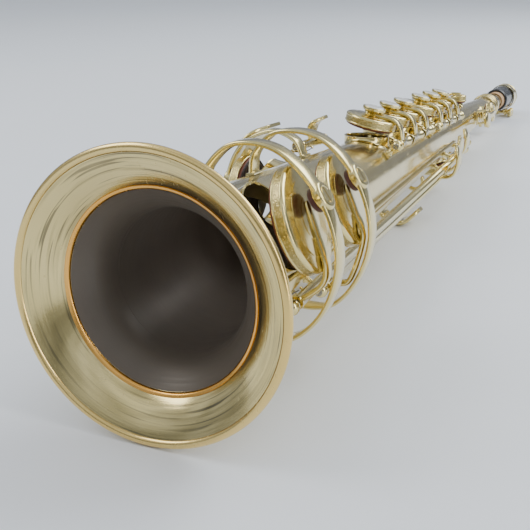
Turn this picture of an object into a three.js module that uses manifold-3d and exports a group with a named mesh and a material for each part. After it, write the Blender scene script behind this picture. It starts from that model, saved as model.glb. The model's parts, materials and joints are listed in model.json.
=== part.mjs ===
// A straight soprano saxophone lying on its back: conical brass body, flared bell, keywork and mouthpiece.
// The horn is modelled round its own bore line (+Y, from the bell rim to the mouthpiece) and then tipped so that
// the bell rim and the ligature screws stand on z = 0. Millimetres, +Z up.
import * as THREE from "three";
import { mergeVertices } from "three/addons/utils/BufferGeometryUtils.js";
import Module from "manifold-3d";

const wasm = await Module();
wasm.setup();

// ---- Driving dimensions -------------------------------------------------------------------------------------
const BELL_R = 47; // rim radius
const CONE_R = 26.3; // outer radius that the straight cone would have at the rim
const TAPER = 0.0316; // radius lost per millimetre of bore
const FLARE_DECAY = 9.5; // length over which the bell's flare dies away
const WALL = 0.9;
const RIM_BEAD = 1.5; // radius of the rolled rim
const BELL_END = 26; // where the bell meets the body tube
const BODY_END = 572; // top of the body tube
const NECK_END = 650;
const CORK_START = 618;
const CORK_R = 7.9;
const MOUTH_START = 628;
const MOUTH_END = 706;
const MOUTH_R = 10.2;
const GAP = 0.3; // clearance between touching pieces
const CHIMNEY = 2; // height of a tone hole's rim above the tube
const CUP_TOP = 7.2; // height of a key cup's crown above the tone hole
const ROD_R = 1.1;
const BARREL_BORE = 1.5;
const BARREL_R = 2.5;
const POST_R = 2.9;
const ROUND = 28; // facets round the big turned parts
const SMALL_ROUND = 12;
const BARREL_ROUND = 6;

const MATERIALS = {
  lacquer: new THREE.MeshStandardMaterial({ color: 0xcdb887, roughness: 0.22, metalness: 1 }),
  steel: new THREE.MeshStandardMaterial({ color: 0x9a9a98, roughness: 0.3, metalness: 1 }),
  leather: new THREE.MeshStandardMaterial({ color: 0x3a1c12, roughness: 0.6, metalness: 0 }),
  pearl: new THREE.MeshStandardMaterial({ color: 0xf0ece2, roughness: 0.25, metalness: 0 }),
  felt: new THREE.MeshStandardMaterial({ color: 0x5a1a16, roughness: 1, metalness: 0 }),
  cork: new THREE.MeshStandardMaterial({ color: 0xb78a58, roughness: 0.9, metalness: 0 }),
  ebonite: new THREE.MeshStandardMaterial({ color: 0x0d0d0e, roughness: 0.25, metalness: 0 }),
  cane: new THREE.MeshStandardMaterial({ color: 0xd9bf7c, roughness: 0.7, metalness: 0 }),
};

// ---- Places on the cone -------------------------------------------------------------------------------------
// s runs along the bore from the rim, deg round it from +X towards +Z, and lift outwards from the tube's surface.
const rad = (deg) => (deg * Math.PI) / 180;
const coneR = (s) => CONE_R - TAPER * s;
const tubeR = (s) => coneR(s) + (BELL_R - CONE_R) * Math.exp(-s / FLARE_DECAY);
const outward = (deg) => new THREE.Vector3(Math.cos(rad(deg)), 0, Math.sin(rad(deg)));
const along = (deg) => new THREE.Vector3(0, 1, 0).addScaledVector(outward(deg), -TAPER).normalize();
const at = (s, deg, lift) => outward(deg).multiplyScalar(coneR(s) + lift).setY(s);

// Frame on the tube: X round it, Y out of its surface, Z along it towards the mouthpiece.
function frameAt(s, deg, lift) {
  const z = along(deg);
  const x = new THREE.Vector3(-Math.sin(rad(deg)), 0, Math.cos(rad(deg)));
  const y = new THREE.Vector3().crossVectors(z, x);
  return new THREE.Matrix4().makeBasis(x, y, z).setPosition(at(s, deg, lift));
}

// ---- Solids -------------------------------------------------------------------------------------------------
function solid(geometry, matrix) {
  const bare = geometry.index ? geometry.toNonIndexed() : geometry.clone();
  for (const extra of ["normal", "uv"]) bare.deleteAttribute(extra);
  if (matrix) bare.applyMatrix4(matrix);
  const merged = mergeVertices(bare, 1e-4);
  const vertProperties = merged.attributes.position.array;
  const triVerts = new Uint32Array(merged.index.array);
  const made = new wasm.Manifold(new wasm.Mesh({ numProp: 3, vertProperties, triVerts }));
  if (made.volume() > 0) return made;
  const flipped = triVerts.map((_, i, all) => all[i - (i % 3) + (2 - (i % 3))]);
  return new wasm.Manifold(new wasm.Mesh({ numProp: 3, vertProperties, triVerts: flipped }));
}

function geometryOf(made) {
  const mesh = made.getMesh();
  const geometry = new THREE.BufferGeometry();
  geometry.setAttribute("position", new THREE.BufferAttribute(mesh.vertProperties, mesh.numProp));
  geometry.setIndex(new THREE.BufferAttribute(mesh.triVerts, 1));
  return geometry;
}

const union = (...solids) => solids.reduce((all, one) => all.add(one));
const points2 = (pairs) => pairs.map(([x, y]) => new THREE.Vector2(x, y));

// A turned solid about Y: the profile is [radius, y] pairs that start and end on the axis or close on themselves.
function turned(pairs, facets = SMALL_ROUND, matrix) {
  const onAxis = pairs[0][0] === 0;
  const profile = points2(onAxis ? pairs : [...pairs, pairs[0]]);
  return solid(new THREE.LatheGeometry(profile, facets), matrix);
}

const ring = (inner, outer, y0, y1, facets, matrix) =>
  turned([[inner, y0], [outer, y0], [outer, y1], [inner, y1]], facets, matrix);

const disc = (r, y0, y1, facets, matrix) => turned([[0, y0], [r, y0], [r, y1], [0, y1]], facets, matrix);

const box = (x, y, z, matrix) => solid(new THREE.BoxGeometry(x, y, z), matrix);

// The outline of a bent strip that follows a smooth line through the points.
function stripShape(points, thickness) {
  const curve = new THREE.SplineCurve(points);
  const steps = Math.round(points.length * 1.5);
  const sides = [[], []];
  for (let i = 0; i <= steps; i++) {
    const p = curve.getPoint(i / steps);
    const t = curve.getTangent(i / steps);
    const n = new THREE.Vector2(-t.y, t.x).multiplyScalar(thickness / 2);
    sides[0].push(p.clone().add(n));
    sides[1].unshift(p.clone().sub(n));
  }
  return new THREE.Shape([...sides[0], ...sides[1]]);
}

// A strip bent round the tube, square to the bore, centred on s. The points are tube (x, z) pairs.
function strap(points, s, width, thickness) {
  const shape = stripShape(points, thickness);
  const cut = new THREE.ExtrudeGeometry(shape, { depth: width, bevelEnabled: false });
  cut.rotateX(Math.PI / 2).translate(0, s + width / 2, 0);
  return solid(cut);
}

const polar = (s, pairs) =>
  pairs.map(([deg, lift]) => new THREE.Vector2(Math.cos(rad(deg)), Math.sin(rad(deg))).multiplyScalar(coneR(s) + lift));

// A strip that runs along the bore at one angle. The points are [s, lift] pairs.
function lengthwise(pairs, deg, width, thickness) {
  const points = pairs.map(([s, lift]) => new THREE.Vector2(s, coneR(s) + lift));
  const cut = new THREE.ExtrudeGeometry(stripShape(points, thickness), { depth: width, bevelEnabled: false });
  const side = new THREE.Vector3(Math.sin(rad(deg)), 0, -Math.cos(rad(deg)));
  const place = new THREE.Matrix4().makeBasis(new THREE.Vector3(0, 1, 0), outward(deg), side);
  return solid(cut.translate(0, 0, -width / 2), place);
}

// Turns a solid made along Y so that it runs along the tube at deg, from s0 to s1.
function alongTube(make, s0, s1, deg, lift) {
  const middle = (s0 + s1) / 2;
  const frame = frameAt(middle, deg, lift).multiply(new THREE.Matrix4().makeRotationX(Math.PI / 2));
  return make(-(s1 - s0) / 2, (s1 - s0) / 2, frame);
}

const barrel = (s0, s1, deg, lift) =>
  alongTube((y0, y1, m) => ring(BARREL_BORE, BARREL_R, y0, y1, BARREL_ROUND, m), s0, s1, deg, lift);

const rod = (s0, s1, deg, lift, r = ROD_R) =>
  alongTube((y0, y1, m) => disc(r, y0, y1, BARREL_ROUND, m), s0, s1, deg, lift);

// A ball-topped post that carries a rod at the given lift.
function post(s, deg, lift) {
  const ball = [[POST_R, -1], [POST_R, 1], [POST_R * 0.6, POST_R * 0.85], [0, POST_R * 0.85]];
  return turned([[0, 0.8 - lift], [1.5, 0.8 - lift], [1.5, -POST_R], ...ball], BARREL_ROUND, frameAt(s, deg, lift));
}

// A rib of sheet brass along the tube with its posts, drilled for their rods.
function ribWithPosts(s0, s1, deg, width, posts, bores) {
  const length = s1 - s0;
  const strip = box(width, 1.2, length, frameAt((s0 + s1) / 2, deg, GAP + 0.6));
  const made = union(strip, ...posts.map(([s, postDeg, lift]) => post(s, postDeg, lift)));
  return bores.reduce((all, [postDeg, lift]) => all.subtract(rod(s0 - 5, s1 + 5, postDeg, lift, BARREL_BORE)), made);
}

// ---- The scene graph ----------------------------------------------------------------------------------------
const horn = new THREE.Group();

function add(name, made, material, parent = horn) {
  const mesh = new THREE.Mesh(geometryOf(made), MATERIALS[material]);
  mesh.name = name;
  parent.add(mesh);
  return mesh;
}

// A group that turns about a line through origin. Its solids are made where they are when it is unturned.
function pivot(origin, axis, angle) {
  const group = new THREE.Group();
  group.position.copy(origin);
  group.setRotationFromAxisAngle(axis, angle);
  group.userData = { origin, axis };
  horn.add(group);
  return group;
}

function addTo(group, name, made, material) {
  const { x, y, z } = group.userData.origin;
  return add(name, made.translate([-x, -y, -z]), material, group);
}

// ---- Keys ---------------------------------------------------------------------------------------------------
// s, cup, hole: where the tone hole is and its radius. hinge, lift: the angle and height of the key's rod.
// barrel: the span of its hinge tube. swing: how far it turns. open: it stands off its hole at rest.
// over: [deg, lift] points that its arm passes on the way to the cup. plates: touch pieces, [deg, lift] points at s.
const KEYS = [
  { name: "low_bb", s: 50, cup: 35, hole: 16, hinge: -17, lift: 8.6, barrel: [46, 337], swing: 14, open: true, loosePad: true,
    plates: [{ s: 329, width: 14, path: [[-17, 8.6], [-6, 10.5], [8, 10.5], [22, 9.5]] }] },
  { name: "low_b", s: 92, cup: 35, hole: 15, hinge: -32, lift: 8.6, barrel: [88, 316], swing: 13, open: true, loosePad: true,
    over: [[-25, 11.6], [-17, 13.8]],
    plates: [{ s: 309, width: 12, path: [[-32, 8.6], [-25, 12], [-16, 14], [0, 13], [16, 10]] }] },
  { name: "low_c", s: 148, cup: 170, hole: 14, hinge: 228, lift: 8.6, barrel: [143, 176], swing: 13, open: true, loosePad: true,
    plates: [
      { s: 171, width: 6, path: [[228, 8.6], [210, 14.5], [185, 16.5], [160, 17], [146, 17]] },
      { s: 170, width: 32, path: [[158, 16], [150, 18], [140, 18.6], [128, 17.5], [118, 15]] },
    ] },
  { name: "low_eb", s: 192, cup: 186, hole: 12, hinge: 138, lift: 8.6, barrel: [185, 212], swing: 11, open: false,
    plates: [{ s: 202, width: 14, path: [[138, 8.6], [132, 13], [125, 15.5], [115, 15.5]] }] },
  { name: "d", s: 224, cup: 90, hole: 10.5, hinge: 44, lift: 7, barrel: [218, 237], swing: 12, open: true, pearl: true },
  { name: "e", s: 254, cup: 90, hole: 10, hinge: 44, lift: 7, barrel: [242, 266], swing: 12, open: true, pearl: true },
  { name: "f", s: 283, cup: 90, hole: 9.5, hinge: 44, lift: 7, barrel: [271, 289], swing: 12, open: true, pearl: true },
  { name: "g", s: 322, cup: 90, hole: 9, hinge: 42, lift: 7, barrel: [316, 334], swing: 13, open: true, pearl: true },
  { name: "a", s: 350, cup: 90, hole: 8.5, hinge: 42, lift: 7, barrel: [339, 361], swing: 13, open: true, pearl: true },
  { name: "b", s: 377, cup: 90, hole: 8, hinge: 42, lift: 7, barrel: [366, 383], swing: 13, open: true, pearl: true },
  { name: "g_sharp", s: 368, cup: -72, hole: 7, hinge: -17, lift: 8.6, barrel: [344, 374], swing: 12, open: false,
    plates: [{ s: 350, width: 12, path: [[-17, 8.6], [-6, 12], [8, 13.5], [22, 13]] }] },
  { name: "side_c", s: 404, cup: 136, hole: 6, hinge: 180, lift: 7, barrel: [266, 408], swing: 12, open: false,
    plates: [{ s: 275, width: 18, path: [[180, 7], [190, 10.5], [202, 12.5], [214, 12.5]] }] },
  { name: "octave", s: 462, cup: 95, hole: 2.2, hinge: 158, lift: 6.5, barrel: [446, 470], swing: 8.25, open: false,
    plates: [{ s: 451, width: 5, path: [[158, 6.5], [172, 8.3], [186, 8.6], [200, 7.6]] }] },
];
const CUP_MARGIN = 2.8; // how far a cup's wall stands outside its tone hole
const cupFacets = (key) => (key.hole > 11 ? 18 : SMALL_ROUND);
const cupRadius = (key) => key.hole + CUP_MARGIN + (key.hole < 5 ? 1 : 0);

function cup(key) {
  const r = cupRadius(key);
  const frame = frameAt(key.s, key.cup, CHIMNEY);
  const shell = [[r, 1.6], [r, 5.4], [r - 1.4, 6.3], [0, CUP_TOP]];
  const inside = key.loosePad ? [[0, 4.3], [r - 0.8, 4.3], [r - 0.8, 1.6]] : [[0, GAP], [r - 1.1, GAP], [r - 1.1, 1.6]];
  return turned([...inside, ...shell], cupFacets(key), frame);
}

const pad = (key) => disc(cupRadius(key) - 1.1, GAP, 4, cupFacets(key), frameAt(key.s, key.cup, CHIMNEY));

// The arm from the hinge tube, up past the cup's edge and along its crown.
function arm(key) {
  const r = cupRadius(key);
  const base = coneR(key.s) + CHIMNEY;
  const side = Math.sign(key.hinge - key.cup);
  const spread = rad(Math.abs(key.hinge - key.cup));
  const reach = (coneR(key.s) + key.lift) * Math.sin(spread);
  const c = new THREE.Vector2(Math.cos(rad(key.cup)), Math.sin(rad(key.cup)));
  const t = new THREE.Vector2(-c.y, c.x).multiplyScalar(side);
  const spot = (u, w) => t.clone().multiplyScalar(u).addScaledVector(c, w);
  const edge = [r * 0.9, base + CUP_TOP];
  const rise = [r + Math.max(reach - r, 2) * 0.55, base + 3.6];
  const crown = [r * 0.35, base + CUP_TOP + 0.2];
  const start = polar(key.s, [[key.hinge, key.lift], ...(key.over ?? [])]);
  const climb = key.over ? [] : [spot(...rise)];
  const path = [...start, ...climb, spot(...edge), spot(...crown), spot(-r * 0.3, base + CUP_TOP - 0.2)];
  return strap(path, key.s, Math.min(5, 1.6 + r * 0.28), 2.2);
}

const pearlCup = (key) => {
  const frame = frameAt(key.s, key.cup, CHIMNEY);
  return turned([[0, 6], [3, 6], [5.6, 9], [5.6, 10.2], [0, 10.2]], SMALL_ROUND, frame);
};
const pearl = (key) =>
  turned([[0, 10.5], [5, 10.5], [5, 11.2], [4, 11.7], [0, 11.3]], SMALL_ROUND, frameAt(key.s, key.cup, CHIMNEY));

function addKey(key) {
  const opening = Math.sign(key.cup - key.hinge);
  const axis = along(key.hinge);
  const group = pivot(at(key.s, key.hinge, key.lift), axis, key.open ? rad(key.swing) * opening : 0);
  const plates = (key.plates ?? []).map((p) => strap(polar(p.s, p.path), p.s, p.width, 1.8));
  const pieces = [barrel(...key.barrel, key.hinge, key.lift), cup(key), arm(key), ...plates];
  if (key.pearl) pieces.push(pearlCup(key));
  const bore = rod(key.barrel[0] - 1, key.barrel[1] + 1, key.hinge, key.lift, BARREL_BORE);
  addTo(group, `${key.name}_key`, union(...pieces).subtract(bore), "lacquer");
  if (key.pearl) addTo(group, `${key.name}_pearl`, pearl(key), "pearl");
  if (key.loosePad) addTo(group, `${key.name}_pad`, pad(key), "leather");
  group.userData.joint = { name: key.name, pressed: key.open ? -opening : opening, swing: key.swing };
}

// The thumb's octave lever behind the horn. Its tail lies over the octave key's tail and presses it down.
const THUMB = { s: 437, hinge: 290, lift: 6.5, barrel: [405, 470], swing: 5.5 };
function addThumbLever() {
  const group = pivot(at(THUMB.s, THUMB.hinge, THUMB.lift), along(THUMB.hinge), 0);
  const plate = strap(polar(412, [[290, 6.5], [280, 9], [268, 10.5], [252, 10.5]]), 412, 11, 1.8);
  const tail = strap(polar(451, [[290, 6.5], [272, 9.8], [252, 11], [230, 11.2], [212, 11], [200, 10.6]]), 451, 5, 1.8);
  const made = union(barrel(...THUMB.barrel, THUMB.hinge, THUMB.lift), plate, tail);
  const bore = rod(400, 475, THUMB.hinge, THUMB.lift, BARREL_BORE);
  addTo(group, "octave_thumb_lever", made.subtract(bore), "lacquer");
  group.userData.joint = { name: "octave_thumb", pressed: 1, swing: THUMB.swing };
}

// One curved base carries the posts and rods of the octave key and of its thumb lever.
function addOctaveSaddle() {
  const levers = [[443, 473, 158, 6.5], [402, 473, THUMB.hinge, THUMB.lift]];
  const spread = [152, 175, 198, 221, 244, 267, 290].map((deg) => [deg, 1.3]);
  const bases = [443, 473].map((s) => strap(polar(s, spread), s, 5, 1.4));
  const posts = levers.flatMap(([s0, s1, deg, lift]) => [post(s0, deg, lift), post(s1, deg, lift)]);
  const rods = levers.map(([s0, s1, deg, lift]) => rod(s0, s1, deg, lift));
  const rib = box(6, 1.2, 76, frameAt(438, THUMB.hinge, GAP + 0.6));
  add("octave_saddle", union(...bases, rib, ...posts, ...rods), "lacquer");
}

// Palm keys: levers along the tube on a rod that lies across it, with the touch at one end and the cup at the other.
const PALMS = [{ name: "palm_d", deg: 12, s: 508, hole: 5 }];
const PALM_HINGE_S = 474;
const PALM_LIFT = 8;
const PALM_SWING = 9;
// A solid made along Y, laid across the tube at the palm hinge.
const across = (deg, lift = PALM_LIFT) =>
  frameAt(PALM_HINGE_S, deg, lift).multiply(new THREE.Matrix4().makeRotationZ(Math.PI / 2));

function addPalmKey(palm) {
  const round = new THREE.Vector3(-Math.sin(rad(palm.deg)), 0, Math.cos(rad(palm.deg)));
  const group = pivot(at(PALM_HINGE_S, palm.deg, PALM_LIFT), round, 0);
  const r = palm.hole + CUP_MARGIN;
  const crown = CHIMNEY + CUP_TOP - 0.2;
  const profile = [[0, GAP], [r - 0.8, GAP], [r, 1.6], [r, 5.4], [r - 1.4, 6.3], [0, CUP_TOP]];
  const lever = lengthwise([[444, 13.5], [460, 12.2], [474, 9.5], [490, 10.5], [palm.s + 2, crown]], palm.deg, 4, 2);
  const touch = lengthwise([[434, 12.5], [442, 13.6], [452, 13.2]], palm.deg, 11, 1.8);
  const tube = ring(BARREL_BORE, BARREL_R, -3.2, 3.2, BARREL_ROUND, across(palm.deg));
  const bore = disc(BARREL_BORE, -6, 6, BARREL_ROUND, across(palm.deg));
  const made = union(lever, touch, tube, turned(profile, SMALL_ROUND, frameAt(palm.s, palm.deg, CHIMNEY)));
  addTo(group, `${palm.name}_key`, made.subtract(bore), "lacquer");
  group.userData.joint = { name: palm.name, pressed: -1, swing: PALM_SWING };
}

// One curved base with a pair of ears and a rod for each palm key.
function addPalmSaddle() {
  const base = strap(polar(PALM_HINGE_S, [[-12, 1.3], [12, 1.3], [36, 1.3]]), PALM_HINGE_S, 7, 1.4);
  const ears = PALMS.flatMap((palm) =>
    [-1, 1].map((side) => box(1.6, 9.4, 5, frameAt(PALM_HINGE_S, palm.deg, 5.2).multiply(shift(side * 4.6, 0, 0)))));
  const rods = PALMS.map((palm) => disc(ROD_R, -5.6, 5.6, BARREL_ROUND, across(palm.deg)));
  add("palm_key_saddle", union(base, ...ears, ...rods), "lacquer");
}
const shift = (x, y, z) => new THREE.Matrix4().makeTranslation(x, y, z);

// ---- Body, bell and neck ------------------------------------------------------------------------------------
function bell() {
  const stations = [0, 1, 2.5, 5, 8, 12, 17, BELL_END];
  const slope = (s) => -TAPER - ((BELL_R - CONE_R) / FLARE_DECAY) * Math.exp(-s / FLARE_DECAY);
  const back = stations.map((s) => [tubeR(s), s + RIM_BEAD]);
  const front = stations.map((s) => {
    const length = Math.hypot(1, slope(s));
    return [tubeR(s) - WALL / length, s + RIM_BEAD + (WALL * slope(s)) / length];
  });
  const bead = [200, 245, 295, 340, 25, 70, 115].map((angle) =>
    [BELL_R + RIM_BEAD * Math.cos(rad(angle)), RIM_BEAD * (1 + Math.sin(rad(angle)))]);
  const end = BELL_END - GAP / 2;
  const inner = front.slice(1, -1).reverse();
  return turned([[coneR(end) - WALL, end], ...inner, ...bead, ...back.slice(1, -1), [coneR(end), end]], ROUND);
}

function bodyTube() {
  const [s0, s1] = [BELL_END + GAP / 2, BODY_END];
  const cone = (inset, from, to) =>
    turned([[0, from], [coneR(from) - inset, from], [coneR(to) - inset, to], [0, to]], ROUND);
  const holes = [...KEYS.map((k) => [k.s, k.cup, k.hole]), ...PALMS.map((p) => [p.s, p.deg, p.hole])];
  const facets = (hole) => (hole > 11 ? 16 : hole > 7 ? 12 : 8);
  const rims = holes.map(([s, deg, hole]) => {
    const depth = coneR(s) - Math.sqrt(Math.max(coneR(s) ** 2 - (hole + 1) ** 2, 0)) + 0.6;
    return disc(hole + 1, -CHIMNEY - depth, 0, facets(hole), frameAt(s, deg, CHIMNEY));
  });
  const cuts = holes.map(([s, deg, hole]) => disc(hole, -coneR(s), 1, facets(hole), frameAt(s, deg, CHIMNEY)));
  const shell = union(cone(0, s0, s1), ...rims).subtract(cone(WALL, s0 - 1, s1 + 1));
  return shell.subtract(union(...cuts));
}

const bellRing = () => {
  const [s0, s1] = [BELL_END - 3, BELL_END + 3];
  const inner = (s) => tubeR(s) + GAP;
  return turned([[inner(s0), s0], [inner(s0) + 1, s0], [inner(s0) + 1.9, BELL_END], [inner(s1) + 1, s1], [inner(s1), s1]], ROUND);
};

function neckReceiver() {
  const inner = coneR(BODY_END - 8) + GAP;
  const collar = ring(inner, inner + 2, BODY_END - 8, BODY_END + 9, 24);
  const ears = [-1, 1].map((side) => box(2.4, 8, 8, frameAt(BODY_END + 2, 270, 4).multiply(shift(side * 2.4, 0, 0))));
  const slot = box(2, 12, 14, frameAt(BODY_END + 4, 270, 3));
  const hole = disc(1.5, -8, 8, BARREL_ROUND, receiverScrewFrame());
  return union(collar, ...ears).subtract(slot).subtract(disc(inner, BODY_END - 12, BODY_END + 12, 24)).subtract(hole);
}
const receiverScrewFrame = () =>
  frameAt(BODY_END + 2, 270, 5.8).multiply(new THREE.Matrix4().makeRotationZ(Math.PI / 2));

const neck = () => {
  const s0 = BODY_END + GAP;
  const r = (s) => coneR(s);
  return turned([[r(s0) - WALL, s0], [r(s0), s0], [r(586), 586], [r(586) + 1, 587.5], [r(589), 589],
    [r(NECK_END), NECK_END], [r(NECK_END) - WALL, NECK_END]], 24);
};

const neckCork = () => {
  const inner = coneR(CORK_START) + GAP;
  return turned([[inner, CORK_START], [inner + 0.7, CORK_START], [CORK_R, CORK_START + 4], [CORK_R, NECK_END], [inner, NECK_END]], 24);
};

// ---- Mouthpiece, reed and ligature --------------------------------------------------------------------------
const TABLE_Z = -7.6; // the flat that the reed lies on
const LIGATURE_S = [664, 682];
const SCREW_S = [668.5, 677.5];
const SCREW_Z = -15.2;
const SCREW_HEAD_R = 3.8;

function mouthpiece() {
  const profile = [[CORK_R + GAP, MOUTH_START], [9.4, MOUTH_START], [MOUTH_R, MOUTH_START + 3], [MOUTH_R, 668],
    [9.4, MOUTH_END], [0, MOUTH_END], [0, 672], [4.5, 668], [4.5, 652], [CORK_R + GAP, 652]];
  const BEAK_ANGLE = rad(21);
  const beak = new THREE.Matrix4().makeTranslation(0, 668, MOUTH_R).multiply(new THREE.Matrix4().makeRotationX(-BEAK_ANGLE));
  const above = box(40, 60, 20, beak.multiply(shift(0, 30, 10)));
  const below = box(40, 60, 10, shift(0, 656 + 30, TABLE_Z - 5));
  const windowCut = box(8, 22, 6, shift(0, 688, TABLE_Z + 1));
  const closed = profile.filter(([r, s]) => r > 0 || s !== MOUTH_END);
  const outer = turned([[0, MOUTH_START], ...profile.slice(1, 6)], 24);
  const bore = turned([[0, MOUTH_START - 1], [CORK_R + GAP, MOUTH_START - 1], ...closed.slice(-1), ...[[4.5, 653], [4.5, 668]], [0, 672]], 24);
  return outer.subtract(bore).subtract(above).subtract(below).subtract(windowCut);
}

function reed() {
  const top = TABLE_Z - GAP;
  const side = new THREE.Shape(points2([[662, top], [662, top - 2.2], [684, top - 2.2], [705, top - 0.3], [705, top]]));
  const cut = new THREE.ExtrudeGeometry(side, { depth: 12, bevelEnabled: false }).translate(0, 0, -6);
  const place = new THREE.Matrix4().makeBasis(new THREE.Vector3(0, 1, 0), new THREE.Vector3(0, 0, 1), new THREE.Vector3(1, 0, 0));
  return solid(cut, place);
}

const screwFrame = (s) => shift(0, s, SCREW_Z).multiply(new THREE.Matrix4().makeRotationZ(-Math.PI / 2));

function ligature() {
  const band = ring(12.1, 12.9, ...LIGATURE_S, 24);
  const middle = (LIGATURE_S[0] + LIGATURE_S[1]) / 2;
  const lugs = [-1, 1].map((side) => box(2.4, 15, 5.4, shift(side * 2.8, middle, SCREW_Z + 0.6)));
  const slot = box(2.6, 30, 6, shift(0, middle, SCREW_Z + 1.6));
  const holes = SCREW_S.map((s) => disc(1.5, -9, 9, BARREL_ROUND, screwFrame(s)));
  return union(band, ...lugs).subtract(slot).subtract(union(...holes));
}

const thumbScrew = (frame) =>
  turned([[0, -6], [ROD_R, -6], [ROD_R, 6], [SCREW_HEAD_R, 6.6], [SCREW_HEAD_R, 9.6], [0, 10.2]], SMALL_ROUND, frame);

// ---- Guards, supports and hand rests ------------------------------------------------------------------------
const GUARD_WIDTH = 7.6;
const GUARDS = [
  { name: "low_bb", s: 50, felt: 35, path: [[99, 1.1], [94, 9], [80, 18], [60, 22.5], [35, 22.4], [10, 21.4], [-14, 18.4], [-36, 14], [-52, 7], [-58, 1.1]] },
  { name: "low_b", s: 92, felt: 35, path: [[101, 1.1], [96, 9], [82, 17.5], [60, 22.1], [35, 22], [10, 21], [-14, 18.6], [-38, 15.6], [-58, 8], [-64, 1.1]] },
  { name: "low_c", s: 148, felt: 170, path: [[104, 1.1], [109, 9], [124, 16.5], [146, 21], [170, 21], [196, 20.5], [220, 22.4], [240, 23.9], [252, 20.8], [258, 10], [261, 1.1]] },
];
function addGuard(guard) {
  const frame = frameAt(guard.s, guard.felt, 0);
  const lift = guard.path.find(([deg]) => deg === guard.felt)[1];
  const boss = disc(5.2, lift - 1.6, lift + 1.6, SMALL_ROUND, frame);
  add(`${guard.name}_guard`, union(strap(polar(guard.s, guard.path), guard.s, GUARD_WIDTH, 1.6), boss), "lacquer");
  add(`${guard.name}_bumper`, disc(4.4, lift - 4, lift - 1.6 - GAP, SMALL_ROUND, frame), "felt");
}

const arcPlate = (s, from, to, width) => strap(polar(s, [[from, 1.5], [(from + to) / 2, 1.5], [to, 1.5]]), s, width, 1.4);

const thumbHook = () =>
  union(arcPlate(275, 244, 280, 20), strap(polar(275, [[262, 1.2], [260, 8], [268, 15], [286, 18.4], [306, 15]]), 275, 14, 2.4));

const STRAP_RING = { s: 335, deg: 270, lift: 7.2, outer: 6.6, inner: 3.9, thick: 3 };
function strapRing() {
  const { s, deg, lift, outer, inner, thick } = STRAP_RING;
  const face = frameAt(s, deg, lift).multiply(new THREE.Matrix4().makeRotationX(Math.PI / 2));
  return union(arcPlate(s, 250, 290, 12), disc(outer, -thick / 2, thick / 2, 20, face))
    .subtract(disc(inner, -thick, thick, 20, face));
}

const THUMB_REST = { s: 392, deg: 270, lift: 5 };
const thumbRest = () =>
  union(disc(7.5, 0, THUMB_REST.lift - 1.8, SMALL_ROUND, frameAt(THUMB_REST.s, 270, 1.8)), arcPlate(392, 252, 288, 12));

// ---- Assembly -----------------------------------------------------------------------------------------------
add("bell", bell(), "lacquer");
add("bell_ring", bellRing(), "lacquer");
add("body_tube", bodyTube(), "lacquer");
add("neck_receiver", neckReceiver(), "lacquer");
add("receiver_screw", thumbScrew(receiverScrewFrame()), "lacquer");
add("neck", neck(), "lacquer");
add("neck_cork", neckCork(), "cork");
add("mouthpiece", mouthpiece(), "ebonite");
add("reed", reed(), "cane");
add("ligature", ligature(), "lacquer");
SCREW_S.forEach((s, i) => add(`ligature_screw_${i + 1}`, thumbScrew(screwFrame(s)), "lacquer"));

add("low_key_rib", ribWithPosts(38, 382, -22, 9,
  [[42, -17, 8.6], [340.5, -17, 8.6], [378, -17, 8.6], [84, -32, 8.6], [320, -32, 8.6]], [[-17, 8.6], [-32, 8.6]]), "lacquer");
add("low_bb_rod", rod(39.5, 381, -17, 8.6), "steel");
add("low_b_rod", rod(81.5, 323, -32, 8.6), "steel");
add("low_c_rib", ribWithPosts(136, 184, 228, 7, [[139.5, 228, 8.6], [180, 228, 8.6]], [[228, 8.6]]), "lacquer");
add("low_c_rod", rod(137, 183, 228, 8.6), "steel");
add("low_eb_rib", ribWithPosts(178, 220, 138, 5, [[181.5, 138, 8.6], [216, 138, 8.6]], [[138, 8.6]]), "lacquer");
add("low_eb_rod", rod(179, 219, 138, 8.6), "steel");
add("lower_stack_rib", ribWithPosts(210, 297, 44, 4.4, [[214, 44, 7], [293, 44, 7]], [[44, 7]]), "lacquer");
add("lower_stack_rod", rod(211.5, 296, 44, 7), "steel");
add("upper_stack_rib", ribWithPosts(308, 391, 42, 4.4, [[312, 42, 7], [387, 42, 7]], [[42, 7]]), "lacquer");
add("upper_stack_rod", rod(309.5, 390, 42, 7), "steel");
add("side_key_rib", ribWithPosts(258, 416, 180, 5, [[262, 180, 7], [412, 180, 7]], [[180, 7]]), "lacquer");
add("side_c_rod", rod(259.5, 414.5, 180, 7), "steel");

GUARDS.forEach(addGuard);
KEYS.forEach(addKey);
addThumbLever();
addOctaveSaddle();
PALMS.forEach(addPalmKey);
addPalmSaddle();
add("thumb_hook", thumbHook(), "lacquer");
add("strap_ring", strapRing(), "lacquer");
add("thumb_rest", thumbRest(), "lacquer");

// The bell rim and the ligature screws carry the horn: tip it until both are on z = 0, with the origin in the middle.
const RIM_BOTTOM = BELL_R + RIM_BEAD;
const SCREW_BOTTOM = -SCREW_Z + SCREW_HEAD_R;
const TIP = Math.atan((RIM_BOTTOM - SCREW_BOTTOM) / ((SCREW_S[0] + SCREW_S[1]) / 2 - RIM_BEAD));
horn.rotation.x = -TIP;

const part = new THREE.Group();
part.add(horn);
const bounds = new THREE.Box3().setFromObject(part, true);
horn.position.set(-(bounds.min.x + bounds.max.x) / 2, -(bounds.min.y + bounds.max.y) / 2, -bounds.min.z);
part.updateMatrixWorld(true);
export default part;
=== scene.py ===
"""Looks for a straight soprano saxophone lying on its back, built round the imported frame.

Pieces are made in millimetres round the horn's own bore line (x, s, z): s runs back from the bell rim, and
deg goes round the bore from +x towards +z. HORN carries them to the row frame, in metres.
"""

import json
import math

import bmesh
import bpy
from mathutils import Matrix, Vector

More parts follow.
